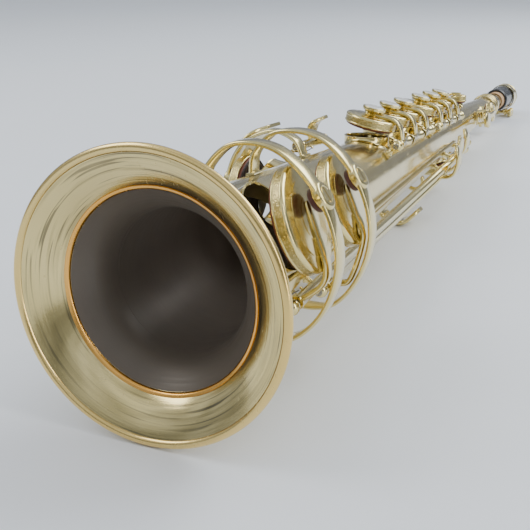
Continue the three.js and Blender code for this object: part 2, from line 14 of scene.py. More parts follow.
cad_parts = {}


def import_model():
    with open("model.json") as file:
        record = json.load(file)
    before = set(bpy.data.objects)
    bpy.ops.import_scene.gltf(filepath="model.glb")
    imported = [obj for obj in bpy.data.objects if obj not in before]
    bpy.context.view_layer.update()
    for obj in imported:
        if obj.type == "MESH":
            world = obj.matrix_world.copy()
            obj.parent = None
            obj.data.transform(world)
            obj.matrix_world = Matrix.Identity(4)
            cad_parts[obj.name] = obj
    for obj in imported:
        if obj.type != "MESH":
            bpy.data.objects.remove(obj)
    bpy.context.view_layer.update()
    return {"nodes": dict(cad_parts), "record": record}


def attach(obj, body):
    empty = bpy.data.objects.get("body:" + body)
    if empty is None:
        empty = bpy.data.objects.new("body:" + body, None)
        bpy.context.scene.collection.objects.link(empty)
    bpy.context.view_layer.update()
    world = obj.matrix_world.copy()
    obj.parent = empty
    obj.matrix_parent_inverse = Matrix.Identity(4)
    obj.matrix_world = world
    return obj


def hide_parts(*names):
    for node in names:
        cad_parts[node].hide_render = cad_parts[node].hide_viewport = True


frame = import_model()

# ---- Dimensions shared with the CAD, in millimetres ----
BELL_R = 47.0
CONE_R = 26.3  # outer radius that the straight cone would have at the rim
TAPER = 0.0316  # radius lost per millimetre of bore
FLARE_DECAY = 9.5  # length over which the bell's flare dies away
WALL = 0.9
RIM_BEAD = 1.5
BELL_END = 26.0
BODY_END = 572.0
NECK_END = 650.0
CORK_START = 618.0
CORK_R = 7.9
MOUTH_START = 628.0
MOUTH_END = 706.0
MOUTH_R = 10.2
TABLE_Z = -7.6  # the mouthpiece's flat for the reed
GAP = 0.3
CHIMNEY = 2.0  # height of a tone hole's rim above the tube
CUP_TOP = 7.2
ROD_R = 1.1
BARREL_BORE = 1.5
BARREL_R = 2.5
POST_R = 2.9
SCREW_S = (668.5, 677.5)
SCREW_Z = -15.2
SCREW_HEAD_R = 3.8
LIGATURE_S = (664.0, 682.0)

SMOOTH_ANGLE = math.radians(34)
SEAM = 2e-7  # metres, closer than this two points are one
ALONG = Vector((0, 1, 0))  # the bore's direction


def rad(deg):
    return math.radians(deg)


def cone_r(s):
    return CONE_R - TAPER * s


def outward(deg):
    return Vector((math.cos(rad(deg)), 0, math.sin(rad(deg))))


def round_the_tube(deg):
    return Vector((-math.sin(rad(deg)), 0, math.cos(rad(deg))))


def at(s, deg, lift):
    return outward(deg) * (cone_r(s) + lift) + ALONG * s


def along(deg):
    return (ALONG - outward(deg) * TAPER).normalized()


def frame_at(s, deg, lift):
    """Frame on the tube: x round it, y out of it, z along it towards the mouthpiece."""
    x, z = round_the_tube(deg), along(deg)
    m = Matrix((x, z.cross(x), z)).transposed().to_4x4()
    m.translation = at(s, deg, lift)
    return m


def rot(angle_deg, axis):
    return Matrix.Rotation(rad(angle_deg), 4, axis)


def shift(x, y, z):
    return Matrix.Translation((x, y, z))


# The horn rests on its rim and on the ligature's screws.
rim_bottom = BELL_R + RIM_BEAD
screw_bottom = SCREW_HEAD_R - SCREW_Z
TIP = math.atan((rim_bottom - screw_bottom) / (sum(SCREW_S) / 2 - RIM_BEAD))
rim_mount = next(m for m in frame["record"]["mounts"] if m["name"] == "bell_rim")
rim_front = Vector((0, RIM_BEAD * (1 - math.sin(rad(65))), BELL_R)) / 1000
turn = Matrix.Rotation(-TIP, 4, "X")
HORN = Matrix.Translation(Vector(rim_mount["pos_m"]) - turn @ rim_front) @ turn @ Matrix.Scale(0.001, 4)


# ---- Mesh building ----
class Shape:
    """Vertices in the bore frame and faces, each with a material number."""

    def __init__(self):
        self.verts = []
        self.faces = []
        self.mats = []

    def add(self, verts, faces, mat=0):
        start = len(self.verts)
        self.verts += [Vector(v) for v in verts]
        self.faces += [[start + i for i in f] for f in faces]
        self.mats += [mat] * len(faces)

    def skin(self, rings, mat=0, caps=True):
        """Joins rings that have equally many points, and closes both ends."""
        n, last = len(rings[0]), len(rings) - 1
        faces = [[i * n + j, i * n + (j + 1) % n, (i + 1) * n + (j + 1) % n, (i + 1) * n + j]
                 for i in range(last) for j in range(n)]
        if caps:
            faces += [list(range(n)), [last * n + j for j in range(n)]]
        self.add([v for ring in rings for v in ring], faces, mat)
        return self

    def turn(self, matrix):
        self.verts = [matrix @ v for v in self.verts]
        return self


def circle(r, count, start=0.0):
    """count points (u, v) round a circle."""
    angles = [start + 2 * math.pi * k / count for k in range(count)]
    return [(r * math.cos(a), r * math.sin(a)) for a in angles]


def spline(points, steps):
    """Catmull-Rom line through the points, the same one as the CAD's bent strips."""
    pts = [Vector(p) for p in points]
    out = []
    spans = len(pts) - 1
    for k in range(steps + 1):
        t = k / steps * spans
        i = min(int(t), spans - 1)
        w = t - i
        p0, p1 = pts[max(i - 1, 0)], pts[i]
        p2, p3 = pts[i + 1], pts[min(i + 2, spans)]
        v0, v1 = (p2 - p0) * 0.5, (p3 - p1) * 0.5
        a = (2 * (p1 - p2) + v0 + v1) * w**3
        b = (3 * (p2 - p1) - 2 * v0 - v1) * w**2
        out.append(a + b + v0 * w + p1)
    return out


def tangents(path):
    last = len(path) - 1
    return [(path[min(i + 1, last)] - path[max(i - 1, 0)]).normalized() for i in range(last + 1)]


def distances(path):
    """How far each point of the path is from its start."""
    out = [0.0]
    for a, b in zip(path, path[1:]):
        out.append(out[-1] + (b - a).length)
    return out


def fillet(profile, radius, steps=3):
    """Rounds the inner corners of a line of (r, y) points."""
    pts = [Vector(p) for p in profile]
    out = [pts[0]]
    for a, b, c in zip(pts, pts[1:], pts[2:]):
        before, after = a - b, c - b
        cut_back = min(radius, before.length * 0.45, after.length * 0.45)
        if before.angle(after, math.pi) > rad(172):
            out.append(b)
            continue
        p, q = b + before.normalized() * cut_back, b + after.normalized() * cut_back
        for k in range(steps + 1):
            t = k / steps
            out.append(p * (1 - t) ** 2 + b * 2 * t * (1 - t) + q * t * t)
    out.append(pts[-1])
    return [tuple(p) for p in out]


def drum(r, y0, y1):
    """The profile of a plain cylinder."""
    return [(0, y0), (r, y0), (r, y1), (0, y1)]


def lathe(shape, profile, matrix=None, segs=48, mat=0, closed=False, mats=None):
    """Turns (r, y) points round local Y. mats holds a material number for each step of the profile."""
    matrix = matrix or Matrix.Identity(4)
    rows = []
    verts = []
    for r, y in profile:
        on_axis = r < 1e-6
        rows.append([len(verts) + (0 if on_axis else i) for i in range(segs)])
        ring = [(0, 0)] if on_axis else circle(r, segs)
        verts += [matrix @ Vector((u, y, v)) for u, v in ring]
    pairs = list(zip(rows, rows[1:])) + ([(rows[-1], rows[0])] if closed else [])
    start = len(shape.verts)
    shape.verts += verts
    for n, (lo, hi) in enumerate(pairs):
        for i in range(segs):
            j = (i + 1) % segs
            face = list(dict.fromkeys((lo[i], hi[i], hi[j], lo[j])))
            if len(face) > 2:
                shape.faces.append([start + v for v in face])
                shape.mats.append(mats[n] if mats else mat)
    return shape


def strap(shape, points, wide, width, thick, steps=24, round_start=False, round_end=False):
    """A bent strip with rounded edges. wide is the way its width lies; width may be a list along it."""
    path = spline(points, steps)
    wide = Vector(wide).normalized()
    lengths = distances(path)
    total = lengths[-1]
    widths = width if isinstance(width, (list, tuple)) else [width, width]
    corner = min(thick * 0.46, 1.0)
    section = []
    for cx, cy, a0 in ((1, 1, 0), (-1, 1, 90), (-1, -1, 180), (1, -1, 270)):
        for k in range(4):
            a = rad(a0 + 30 * k)
            section.append((cx, cy * (thick / 2 - corner) + corner * math.sin(a), corner * math.cos(a)))
    rings = []
    for p, tangent, length in zip(path, tangents(path), lengths):
        normal = wide.cross(tangent).normalized()
        t = length / total * (len(widths) - 1)
        k = min(int(t), len(widths) - 2)
        w = widths[k] * (1 - t + k) + widths[k + 1] * (t - k)
        for wanted, gone in ((round_start, length), (round_end, total - length)):
            reach = w * 0.42
            if wanted and gone < reach:
                w *= max(0.45, math.sqrt(1 - (1 - gone / reach) ** 2))
        rings.append([p + wide * (cx * (w / 2 - corner) + dx) + normal * v for cx, v, dx in section])
    return shape.skin(rings)


def saddle(shape, s0, s1, d0, d1, low, high, steps=12):
    """A curved plate that hugs the cone from s0 to s1 and from angle d0 to d1, with its upper edge eased."""
    rings = []
    for lift, inset in ((low, 0.0), (high - 0.35, 0.0), (high - 0.1, 0.12), (high, 0.4)):
        pad = math.degrees(inset / (cone_r((s0 + s1) / 2) + high))
        a0, a1 = d0 + pad, d1 - pad
        ring = [at(s0 + inset, a0 + (a1 - a0) * k / steps, lift) for k in range(steps)]
        rings.append(ring + [at(s1 - inset, a1 - (a1 - a0) * k / steps, lift) for k in range(steps)])
    start, n = len(shape.verts), 2 * steps
    shape.skin(rings, caps=False)
    for base in (start, start + (len(rings) - 1) * n):
        for k in range(steps - 1):
            near, far = base + k, base + n - 1 - k
            shape.faces.append([near, near + 1, far - 1, far])
            shape.mats.append(0)


def wire(shape, points, radius, steps, segs, taper):
    """A round wire through the points, thinning to taper times its radius."""
    path = spline(points, steps)
    side = Vector((0.3, 0.2, 0.9)).normalized()
    rings = []
    for i, (p, tangent) in enumerate(zip(path, tangents(path))):
        side = (side - tangent * side.dot(tangent)).normalized()
        other = tangent.cross(side)
        r = radius * (1 - (1 - taper) * i / steps)
        rings.append([p + side * u + other * v for u, v in circle(r, segs)])
    shape.skin(rings)


def slotted_head(shape, matrix, r, height, slot):
    """A screw head on local Y = 0 whose top has a straight slot."""
    lathe(shape, drum(r, 0, height * 0.5), matrix, 20)
    a0 = math.asin(slot / r)
    angles = [a0 + (math.pi - 2 * a0) * k / 8 for k in range(9)]
    for side in (1, -1):
        edge = [(r * math.cos(a), side * r * math.sin(a)) for a in angles]
        low = [matrix @ Vector((x, height * 0.45, z)) for x, z in edge]
        high = [matrix @ Vector((x * 0.97, height, z * 0.97)) for x, z in edge]
        shape.skin([low, high])


def mesh_object(name, shape, materials=()):
    """The shape as an object in the row frame, with its seams joined and its faces pointing out."""
    mesh = bpy.data.meshes.new(name)
    mesh.from_pydata([HORN @ v for v in shape.verts], [], shape.faces)
    obj = bpy.data.objects.new(name, mesh)
    bpy.context.scene.collection.objects.link(obj)
    for m in materials:
        mesh.materials.append(m)
    mesh.polygons.foreach_set("material_index", shape.mats)
    bm = bmesh.new()
    bm.from_mesh(mesh)
    bmesh.ops.remove_doubles(bm, verts=bm.verts, dist=SEAM)
    bmesh.ops.recalc_face_normals(bm, faces=bm.faces)
    bm.to_mesh(mesh)
    bm.free()
    return obj


def smooth(mesh):
    for p in mesh.polygons:
        p.use_smooth = True
    mesh.set_sharp_from_angle(angle=SMOOTH_ANGLE)


def piece(name, shape, materials, body="horn", replaces=()):
    """Makes the object, smooth, riding on its body and standing for its CAD nodes."""
    obj = mesh_object(name, shape, materials)
    smooth(obj.data)
    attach(obj, body)
    if replaces:
        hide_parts(*replaces)
    return obj


# ---- Materials ----
LATHE_TURN = 0.0012  # metres of pattern met in one radian round the bore
SHADE_FADE_DEPTHS = (0.012, 0.075)  # the depths, in metres, over which the painted shade inside the bore fades to a paler brown


class Nodes:
    """A node tree, with short ways to add what a material or the world needs."""

    def __init__(self, tree):
        self.tree = tree
        self.shader = tree.nodes.get("Principled BSDF")
        self.bores = None

    def new(self, kind, **values):
        node = self.tree.nodes.new("ShaderNode" + kind)
        for key, value in values.items():
            setattr(node, key, value)
        return node

    def link(self, a, b):
        self.tree.links.new(a, b)

    def fill(self, node, **values):
        """Sets or links inputs by name; _ stands for a space."""
        for key, value in values.items():
            socket = node.inputs[key.replace("_", " ")]
            if isinstance(value, (int, float, tuple)):
                socket.default_value = value
            else:
                self.link(value, socket)
        return node.outputs

    def set(self, **values):
        self.fill(self.shader, **values)

    def object_coords(self):
        return self.new("TexCoord").outputs["Object"]

    def bore_coords(self):
        """(x, s, z) along the bore, in metres, from the rim."""
        if self.bores is None:
            back = (HORN @ Matrix.Scale(1000, 4)).inverted()
            m = self.new("Mapping")
            m.inputs["Rotation"].default_value = back.to_euler()
            m.inputs["Location"].default_value = back.to_translation()
            self.bores = self.fill(m, Vector=self.object_coords())["Vector"]
        return self.bores

    def split(self, vector):
        return self.fill(self.new("SeparateXYZ"), Vector=vector)

    def stretched(self, scale, source=None):
        return self.fill(self.new("Mapping"), Scale=scale, Vector=source or self.object_coords())["Vector"]

    def noise(self, scale, detail=4, rough=0.55, vector=None):
        """A noise of one scale, or of one scale for each axis."""
        if isinstance(scale, tuple):
            scale, vector = 1.0, self.stretched(scale, vector)
        values = dict(Scale=scale, Detail=detail, Roughness=rough)
        return self.fill(self.new("TexNoise"), Vector=vector or self.object_coords(), **values)["Fac"]

    def cells(self, scale, feature="F1", vector=None):
        made = self.new("TexVoronoi", feature=feature)
        return self.fill(made, Scale=scale, Vector=vector or self.object_coords())["Distance"]

    def warped(self, scale, detail, amount):
        """Object coordinates pushed about by a noise."""
        noise = self.new("TexNoise")
        wobble = self.fill(noise, Scale=scale, Detail=detail, Vector=self.object_coords())["Color"]
        bent = self.new("VectorMath", operation="MULTIPLY_ADD")
        self.link(wobble, bent.inputs[0])
        bent.inputs[1].default_value = (amount, amount, amount)
        self.link(self.object_coords(), bent.inputs[2])
        return bent.outputs[0]

    def between(self, value, low, high, smooth_ends=False, to=(0.0, 1.0)):
        """Maps low to high on to the range to."""
        m = self.new("MapRange", interpolation_type="SMOOTHSTEP" if smooth_ends else "LINEAR")
        return self.fill(m, Value=value, From_Min=low, From_Max=high, To_Min=to[0], To_Max=to[1])["Result"]

    def ramp(self, fac, stops):
        r = self.new("ValToRGB")
        while len(r.color_ramp.elements) < len(stops):
            r.color_ramp.elements.new(0.5)
        for e, (pos, value) in zip(r.color_ramp.elements, stops):
            e.position = pos
            e.color = (*value, 1) if isinstance(value, tuple) else (value, value, value, 1)
        return self.fill(r, Fac=fac)["Color"]

    def math(self, op, a, b=0.0):
        m = self.new("Math", operation=op)
        for socket, v in zip(m.inputs, (a, b)):
            if isinstance(v, (int, float)):
                socket.default_value = v
            else:
                self.link(v, socket)
        return m.outputs[0]

    def times(self, *factors):
        out = factors[0]
        for f in factors[1:]:
            out = self.math("MULTIPLY", out, f)
        return out

    def blend(self, fac, a, b, kind="MIX"):
        m = self.new("MixRGB", blend_type=kind)
        a, b = ((*v, 1) if isinstance(v, tuple) else v for v in (a, b))
        return self.fill(m, Fac=fac, Color1=a, Color2=b)["Color"]

    def color(self, value):
        self.set(Base_Color=value)

    def roughness(self, value):
        self.set(Roughness=value)

    def bump(self, heights):
        """heights: [(height, strength), ...], stacked."""
        last = None
        for height, strength in heights:
            b = self.new("Bump")
            out = self.fill(b, Strength=strength, Distance=0.0002, Height=height)
            if last:
                self.link(last, b.inputs["Normal"])
            last = out["Normal"]
        self.set(Normal=last)


def material(name):
    """A new material and its nodes."""
    mat = bpy.data.materials.new(name)
    mat.use_nodes = True
    return mat, Nodes(mat.node_tree)


def turned_coords(n):
    """Coordinates for lathe marks: nearly the same all the way round, and different from ring to ring."""
    x, s, z = n.split(n.bore_coords())
    radius = n.math("SQRT", n.math("ADD", n.times(x, x), n.times(z, z)))
    join = n.new("CombineXYZ")
    n.link(n.times(n.math("DIVIDE", x, radius), LATHE_TURN), join.inputs[0])
    n.link(n.times(n.math("DIVIDE", z, radius), LATHE_TURN), join.inputs[1])
    n.link(n.math("SUBTRACT", radius, s), join.inputs[2])
    return join.outputs[0]


def lacquer(name, base, deep, rough, spun=False, reflection_streaks=0.0):
    """Clear-lacquered brass: faint tone changes, wiped smears, hairline scratches, pits and lathe marks;
    reflection_streaks paints dark bands and arcs round the bore into the colour as painted reflections, and
    deepens the lathe bumps.
    """
    mat, n = material(name)
    lines = turned_coords(n) if spun else None
    tone = n.blend(n.ramp(n.noise(16, 3), [(0.3, 0.0), (0.72, 1.0)]), base, deep)
    spots = n.ramp(n.noise(420, 6, 0.7), [(0.62, 0.0), (0.78, 1.0)])
    dulled = n.ramp(n.noise(70, 5, 0.65), [(0.5, 0.0), (0.75, 0.45)])
    tone = n.blend(n.times(spots, dulled), tone, tuple(0.62 * c for c in deep))
    # Painted reflections: dark olive bands and finer dark arcs round the bore, shown in patches, stand for
    # dark things mirrored in the flare.
    if reflection_streaks:
        dark_reflection_bands = n.ramp(n.noise((900, 900, 430), 3, 0.6, lines), [(0.50, 0.0), (0.62, 0.55)])
        dark_reflection_arcs = n.ramp(n.noise((1000, 1000, 780), 2, 0.5, lines), [(0.575, 0.0), (0.625, 1.0)])
        reflection_patches = n.ramp(n.noise(22, 2), [(0.36, 0.25), (0.56, 1.0)])
        tone = n.blend(n.times(dark_reflection_bands, reflection_patches, reflection_streaks), tone, (0.32, 0.25, 0.10))
        tone = n.blend(n.times(dark_reflection_arcs, reflection_patches, reflection_streaks), tone, (0.15, 0.125, 0.07))
    n.color(tone)
    smear = n.ramp(n.noise((22, 90, 40), 6, 0.6), [(0.38, rough), (0.75, rough + 0.13)])
    scratch = n.ramp(n.noise((900, 60, 500), 2), [(0.63, 0.0), (0.7, 1.0)])
    n.roughness(n.blend(0.25, smear, n.blend(scratch, (rough,) * 3, (0.5,) * 3)))
    heights = [(n.noise(240, 3), 0.05), (n.noise(1800, 2), 0.035)]
    if spun:
        heights.append((n.noise((2600, 2600, 2600), 3, 0.7, lines), 0.06))
        heights.append((n.noise((300, 300, 300), 2, 0.5, lines), 0.10 + 0.5 * reflection_streaks))
    if reflection_streaks:
        heights.append((n.noise((260, 260, 110), 1, 0.4, lines), 0.9))
    n.bump(heights)
    n.set(Metallic=1.0, Coat_Weight=0.5, Coat_Roughness=0.06, Coat_IOR=1.5)
    return mat


def mottled(name, tones, tone_noise, rough=(), rough_noise=None, bumps=(), **values):
    """A material between two tones. Each noise is (scale or xyz scales, detail, how rough it is)."""
    mat, n = material(name)
    n.color(n.blend(n.noise(*tone_noise), *tones))
    if rough:
        n.roughness(n.ramp(n.noise(*rough_noise), rough))
    if bumps:
        n.bump([(n.noise(*noise), strength) for noise, strength in bumps])
    n.set(**values)
    return mat


def throat_material():
    """The unpolished inside of the bore, with draw lines; its colour is painted shade, dark brown at the mouth
    and paler further in.
    """
    mat, n = material("bore_inside_painted_shade")
    lines = turned_coords(n)
    depth = n.between(n.split(n.bore_coords())[1], *SHADE_FADE_DEPTHS, smooth_ends=True)
    mouth = n.blend(n.noise(60, 4), (0.115, 0.094, 0.072), (0.145, 0.118, 0.090))
    n.color(n.blend(depth, mouth, n.blend(n.noise(60, 4), (0.34, 0.285, 0.24), (0.40, 0.335, 0.28))))
    n.roughness(n.ramp(n.noise((900, 900, 700), 4, vector=lines), [(0.3, 0.36), (0.7, 0.5)]))
    n.bump([(n.noise((1400, 1400, 1100), 3, vector=lines), 0.12)])
    n.set(Metallic=0.2, Specular_IOR_Level=0.5)
    return mat


def leather_material():
    """Treated kid leather: fine creased grain."""
    mat, n = material("pad_leather")
    grain = n.ramp(n.cells(1500, "DISTANCE_TO_EDGE", n.warped(400, 2, 0.0008)), [(0.0, 0.0), (0.18, 1.0)])
    tone = n.blend(n.noise(110, 5, 0.6), (0.042, 0.020, 0.014), (0.020, 0.011, 0.009))
    n.color(n.blend(0.3, tone, grain, "MULTIPLY"))
    n.roughness(n.ramp(n.noise(300, 4), [(0.3, 0.38), (0.75, 0.62)]))
    n.bump([(grain, 0.25), (n.noise(500, 4), 0.18)])
    n.set(Specular_IOR_Level=0.45)
    return mat


def milled_material():
    """The frosted band round a key cup's wall."""
    mat, n = material("brass_frosted_band")
    pits = n.ramp(n.cells(1150), [(0.1, 0.0), (0.55, 1.0)])
    tone = n.blend(n.noise(120, 4), (0.78, 0.65, 0.30), (0.64, 0.52, 0.21))
    n.color(n.blend(pits, tone, (0.44, 0.35, 0.13)))
    n.roughness(n.ramp(n.noise(500, 3), [(0.3, 0.24), (0.7, 0.42)]))
    n.bump([(pits, 0.55)])
    n.set(Metallic=1.0, Coat_Weight=0.3, Coat_Roughness=0.1)
    return mat


def pearl_material():
    """Imitation mother-of-pearl: soft folded layers with pale green and pink tints under a clear surface."""
    mat, n = material("pearl")
    wave = n.fill(n.new("TexWave"), Scale=90, Distortion=5, Detail=3, Vector=n.warped(130, 5, 0.02))
    stops = [(0.0, (0.80, 0.80, 0.74)), (0.35, (0.88, 0.85, 0.78)), (0.65, (0.78, 0.83, 0.79))]
    n.color(n.ramp(wave["Fac"], stops + [(1.0, (0.90, 0.84, 0.80))]))
    n.roughness(n.ramp(n.noise(200, 4), [(0.3, 0.16), (0.7, 0.30)]))
    n.bump([(n.noise(350, 3), 0.05)])
    n.set(Specular_IOR_Level=0.6, Coat_Weight=0.6, Coat_Roughness=0.08)
    return mat


def cork_material():
    mat, n = material("sheet_cork")
    grains = n.cells(700)
    specks = n.ramp(n.noise(520, 6, 0.7), [(0.55, 0.0), (0.66, 1.0)])
    n.color(n.blend(specks, n.blend(grains, (0.62, 0.41, 0.22), (0.45, 0.27, 0.13)), (0.17, 0.085, 0.04)))
    n.bump([(grains, 0.4), (specks, 0.5)])
    n.set(Roughness=0.82)
    return mat


def cane_material():
    mat, n = material("reed_cane")
    fibres = n.noise((2600, 45, 2600), 5, 0.6)
    flecks = n.ramp(n.noise((1500, 160, 1500), 3), [(0.62, 0.0), (0.7, 1.0)])
    tone = n.blend(fibres, (0.80, 0.62, 0.32), (0.66, 0.46, 0.20))
    n.color(n.blend(n.times(flecks, 0.5), tone, (0.40, 0.24, 0.09)))
    n.bump([(fibres, 0.35)])
    n.roughness(n.ramp(fibres, [(0.3, 0.5), (0.7, 0.7)]))
    return mat


GOLD = (0.80, 0.655, 0.30)
GOLD_DEEP = (0.70, 0.56, 0.22)
SPUN = lacquer("brass_spun", GOLD, GOLD_DEEP, 0.15, spun=True)
CAST = lacquer("brass_keywork", (0.81, 0.68, 0.31), (0.72, 0.585, 0.22), 0.13)
# A saturated orange brass for the bead in the bell's throat: a painted warm highlight.
WARM_HIGHLIGHT = lacquer("brass_painted_warm_highlight", (0.92, 0.50, 0.11), (0.84, 0.40, 0.07), 0.24, spun=True)
# The flare's dark streaks are painted reflections.
FLARE = lacquer("brass_bell_flare", GOLD, GOLD_DEEP, 0.14, spun=True, reflection_streaks=0.85)
RIM = lacquer("brass_rolled_rim", (0.84, 0.63, 0.24), (0.78, 0.55, 0.17), 0.2, spun=True)
THROAT_PAINTED_SHADE = throat_material()
STEEL = mottled(
    "drawn_steel", ((0.50, 0.49, 0.47), (0.36, 0.35, 0.34)), (90, 4),
    rough=[(0.3, 0.2), (0.7, 0.38)], rough_noise=((1500, 90, 1500), 4),
    bumps=[(((2500, 160, 2500), 2), 0.08)], Metallic=1.0,
)
BLUED = mottled(
    "blued_steel", ((0.03, 0.05, 0.12), (0.07, 0.07, 0.10)), (200, 3),
    rough=[(0.3, 0.22), (0.7, 0.36)], rough_noise=(900, 3), Metallic=1.0,
)
LEATHER = leather_material()
FELT = mottled(
    "wool_felt", ((0.060, 0.018, 0.014), (0.115, 0.035, 0.028)), ((1400, 2400, 1900), 6, 0.75),
    bumps=[(((1400, 2400, 1900), 6, 0.75), 0.7), ((700, 3), 0.4)],
    Roughness=0.95, Sheen_Weight=0.6, Sheen_Roughness=0.5,
)
# A lighter red-brown copy of the pad leather for the pad's side, painted as if lit; the face keeps the darker
# leather.
PAD_SIDE_PAINTED_LIGHT = mottled(
    "pad_side_painted_light", ((0.20, 0.055, 0.028), (0.10, 0.028, 0.016)), (500, 5, 0.65),
    rough=[(0.3, 0.42), (0.75, 0.62)], rough_noise=(300, 4),
    bumps=[((500, 5, 0.65), 0.3), ((1400, 3), 0.2)], Specular_IOR_Level=0.4,
)
MILLED = milled_material()
PEARL = pearl_material()
CORK = cork_material()
EBONITE = mottled(
    "hard_rubber", ((0.012, 0.012, 0.013), (0.024, 0.022, 0.020)), (40, 4),
    rough=[(0.35, 0.14), (0.75, 0.34)], rough_noise=((400, 60, 400), 5),
    bumps=[((900, 3), 0.05)], Specular_IOR_Level=0.55,
)
CANE = cane_material()
RESONATOR = mottled(
    "resonator_metal", ((0.62, 0.50, 0.30), (0.50, 0.38, 0.20)), (150, 4),
    rough=[(0.3, 0.22), (0.7, 0.4)], rough_noise=(600, 3), Metallic=1.0,
)


# ---- Bell, body tube and neck ----
RING_S = 9.6  # where the bell's throat turns to the bore's colour, which is painted shade
RING_FIT = 0.05  # clearance of the joint ring
AROUND = 160


def bell_r(s):
    """The flare's outer radius, fading into the cone before the joint."""
    t = min(max((s - 10) / (BELL_END - 12), 0), 1)
    return cone_r(s) + (BELL_R - CONE_R) * math.exp(-s / FLARE_DECAY) * (1 - t * t * (3 - 2 * t))


def bell():
    """One wall: out along the back of the flare, round the rolled rim and in down the throat."""
    reach = BELL_END - GAP / 2 - RIM_BEAD
    stations = [0.02 + (reach - 0.02) * (k / 34) ** 1.5 for k in range(35)]
    back = [(bell_r(s), s + RIM_BEAD) for s in stations]
    front = []
    for s in stations:
        slope = (bell_r(s + 0.01) - bell_r(s - 0.01)) / 0.02
        length = math.hypot(1, slope)
        front.append((bell_r(s) - WALL / length, s + RIM_BEAD + WALL * slope / length))
    angles = [rad(a) for a in range(200, 476, 11)]
    bead = [(BELL_R + RIM_BEAD * math.cos(a), RIM_BEAD * (1 + math.sin(a))) for a in angles]
    bead = [(r, y) for r, y in bead if not (r < BELL_R and y > 2.2 * RIM_BEAD)]
    profile = back[::-1] + bead[::-1] + front[2:]
    turning = len(back) + len(bead)
    # Past RING_S the inner wall takes the bore's material, whose dark colour is painted shade.
    mats = [1 if k >= turning and y > RING_S else 0 for k, (r, y) in enumerate(profile)]
    mats[len(back):turning] = [2] * len(bead)
    shape = lathe(Shape(), profile, segs=AROUND, closed=True, mats=mats)
    piece("bell_spun", shape, [FLARE, THROAT_PAINTED_SHADE, RIM], replaces=["bell"])

    # A bead inside the throat in saturated orange brass: a painted warm highlight where the flare meets the
    # painted shade of the throat.
    r = bell_r(RING_S - RIM_BEAD) - WALL
    line = [(0.35, -1.0), (-0.5, -0.6), (-0.95, 0.1), (-0.95, 0.8), (-0.6, 1.3), (0.3, 1.4)]
    line = fillet([(r + dr, RING_S + ds) for dr, ds in line], 0.3)
    piece("bell_throat_highlight_bead", lathe(Shape(), line, segs=AROUND, closed=True), [WARM_HIGHLIGHT])


def bell_ring():
    """The band over the joint: a beaded edge on each side of a round-backed middle with a groove in it."""
    half = [(0.55, 3.0), (0.95, 2.75), (0.95, 2.25), (0.6, 1.95), (1.1, 1.6)]
    half += [(1.75, 1.0), (1.85, 0.4), (1.5, 0.15)]
    lines = [(r, BELL_END - y) for r, y in half] + [(1.5, BELL_END + 0.15), (1.85, BELL_END + 0.4)]
    lines += [(1.75, BELL_END + 1.0)] + [(r, BELL_END + y) for r, y in half[4::-1]]
    outer = [(bell_r(s) + RING_FIT + r, s) for r, s in lines]
    inner = [(bell_r(s) + RING_FIT, s) for s in (BELL_END + 3, BELL_END, BELL_END - 3)]
    shape = lathe(Shape(), outer + inner, segs=AROUND, closed=True)
    piece("bell_joint_ring", shape, [SPUN], replaces=["bell_ring"])


def surface_dip(s, u, v):
    """How far the tube's surface lies under the frame plane at s, u round it and v along it."""
    r = cone_r(s + v)
    return math.sqrt(max(r * r - u * u, 0.01)) - r


def chimney(shape, s, deg, hole):
    """A drawn tone hole: a fillet up from the tube, a level rolled lip and the wall inside it."""
    m = frame_at(s, deg, 0)
    top = CHIMNEY
    # Each ring: its radius past the hole's, its height, and whether that is over the tube's own surface.
    profile = [(2.6, 0.06, True), (1.8, 0.25, True), (1.3, 0.7, True), (1.05, 1.2, True)]
    lip = [(0.95, 0.5), (1.15, 0.25), (1.05, 0.02), (0.7, 0), (0.3, 0.02), (0.05, 0.3), (0, 0.7)]
    profile += [(past, top - drop, False) for past, drop in lip]
    profile += [(0, -0.1, True), (0.1, -1.1, True), (0.6, -1.3, True)]
    rings = []
    for past, height, on_tube in profile:
        ring = []
        for u, v in circle(hole + past, 48 if hole > 6 else 28):
            y = min(surface_dip(s, u, v) + height, top - 0.5) if on_tube else height
            ring.append(m @ Vector((u, y, v)))
        rings.append(ring)
    shape.skin(rings, caps=False)


def cut(obj, cutters):
    """Cuts holes through obj and keeps the result as its mesh."""
    for c in cutters:
        mod = obj.modifiers.new("hole", "BOOLEAN")
        mod.operation = "DIFFERENCE"
        mod.solver = "EXACT"
        mod.object = c
    bpy.context.view_layer.update()
    obj.data = bpy.data.meshes.new_from_object(obj.evaluated_get(bpy.context.evaluated_depsgraph_get()))
    obj.modifiers.clear()
    smooth(obj.data)
    for c in cutters:
        bpy.data.objects.remove(c)


def body_tube():
    s0, s1 = BELL_END - GAP / 2, BODY_END
    steps = 40
    outer = [(cone_r(s0 + (s1 - s0) * k / steps), s0 + (s1 - s0) * k / steps) for k in range(steps + 1)]
    inner = [(r - WALL, s) for r, s in outer]
    # The inner wall takes the bore's material, whose dark colour near the bell is painted shade.
    mats = [0] * (steps + 1) + [1] * (steps + 1)
    shape = lathe(Shape(), outer + inner[::-1], segs=128, closed=True, mats=mats)
    tube = piece("body_drawn_tube", shape, [SPUN, THROAT_PAINTED_SHADE], replaces=["body_tube"])
    cutters = []
    rims = Shape()
    for hole in KEYS + [PALM]:
        s, deg, r = hole["s"], hole["cup"], hole["hole"]
        drill = lathe(Shape(), drum(r + 0.4, -cone_r(s), 2), frame_at(s, deg, CHIMNEY))
        cutters.append(mesh_object("cutter", drill))
        chimney(rims, s, deg, r)
    cut(tube, cutters)
    piece("tone_hole_rims", rims, [CAST])


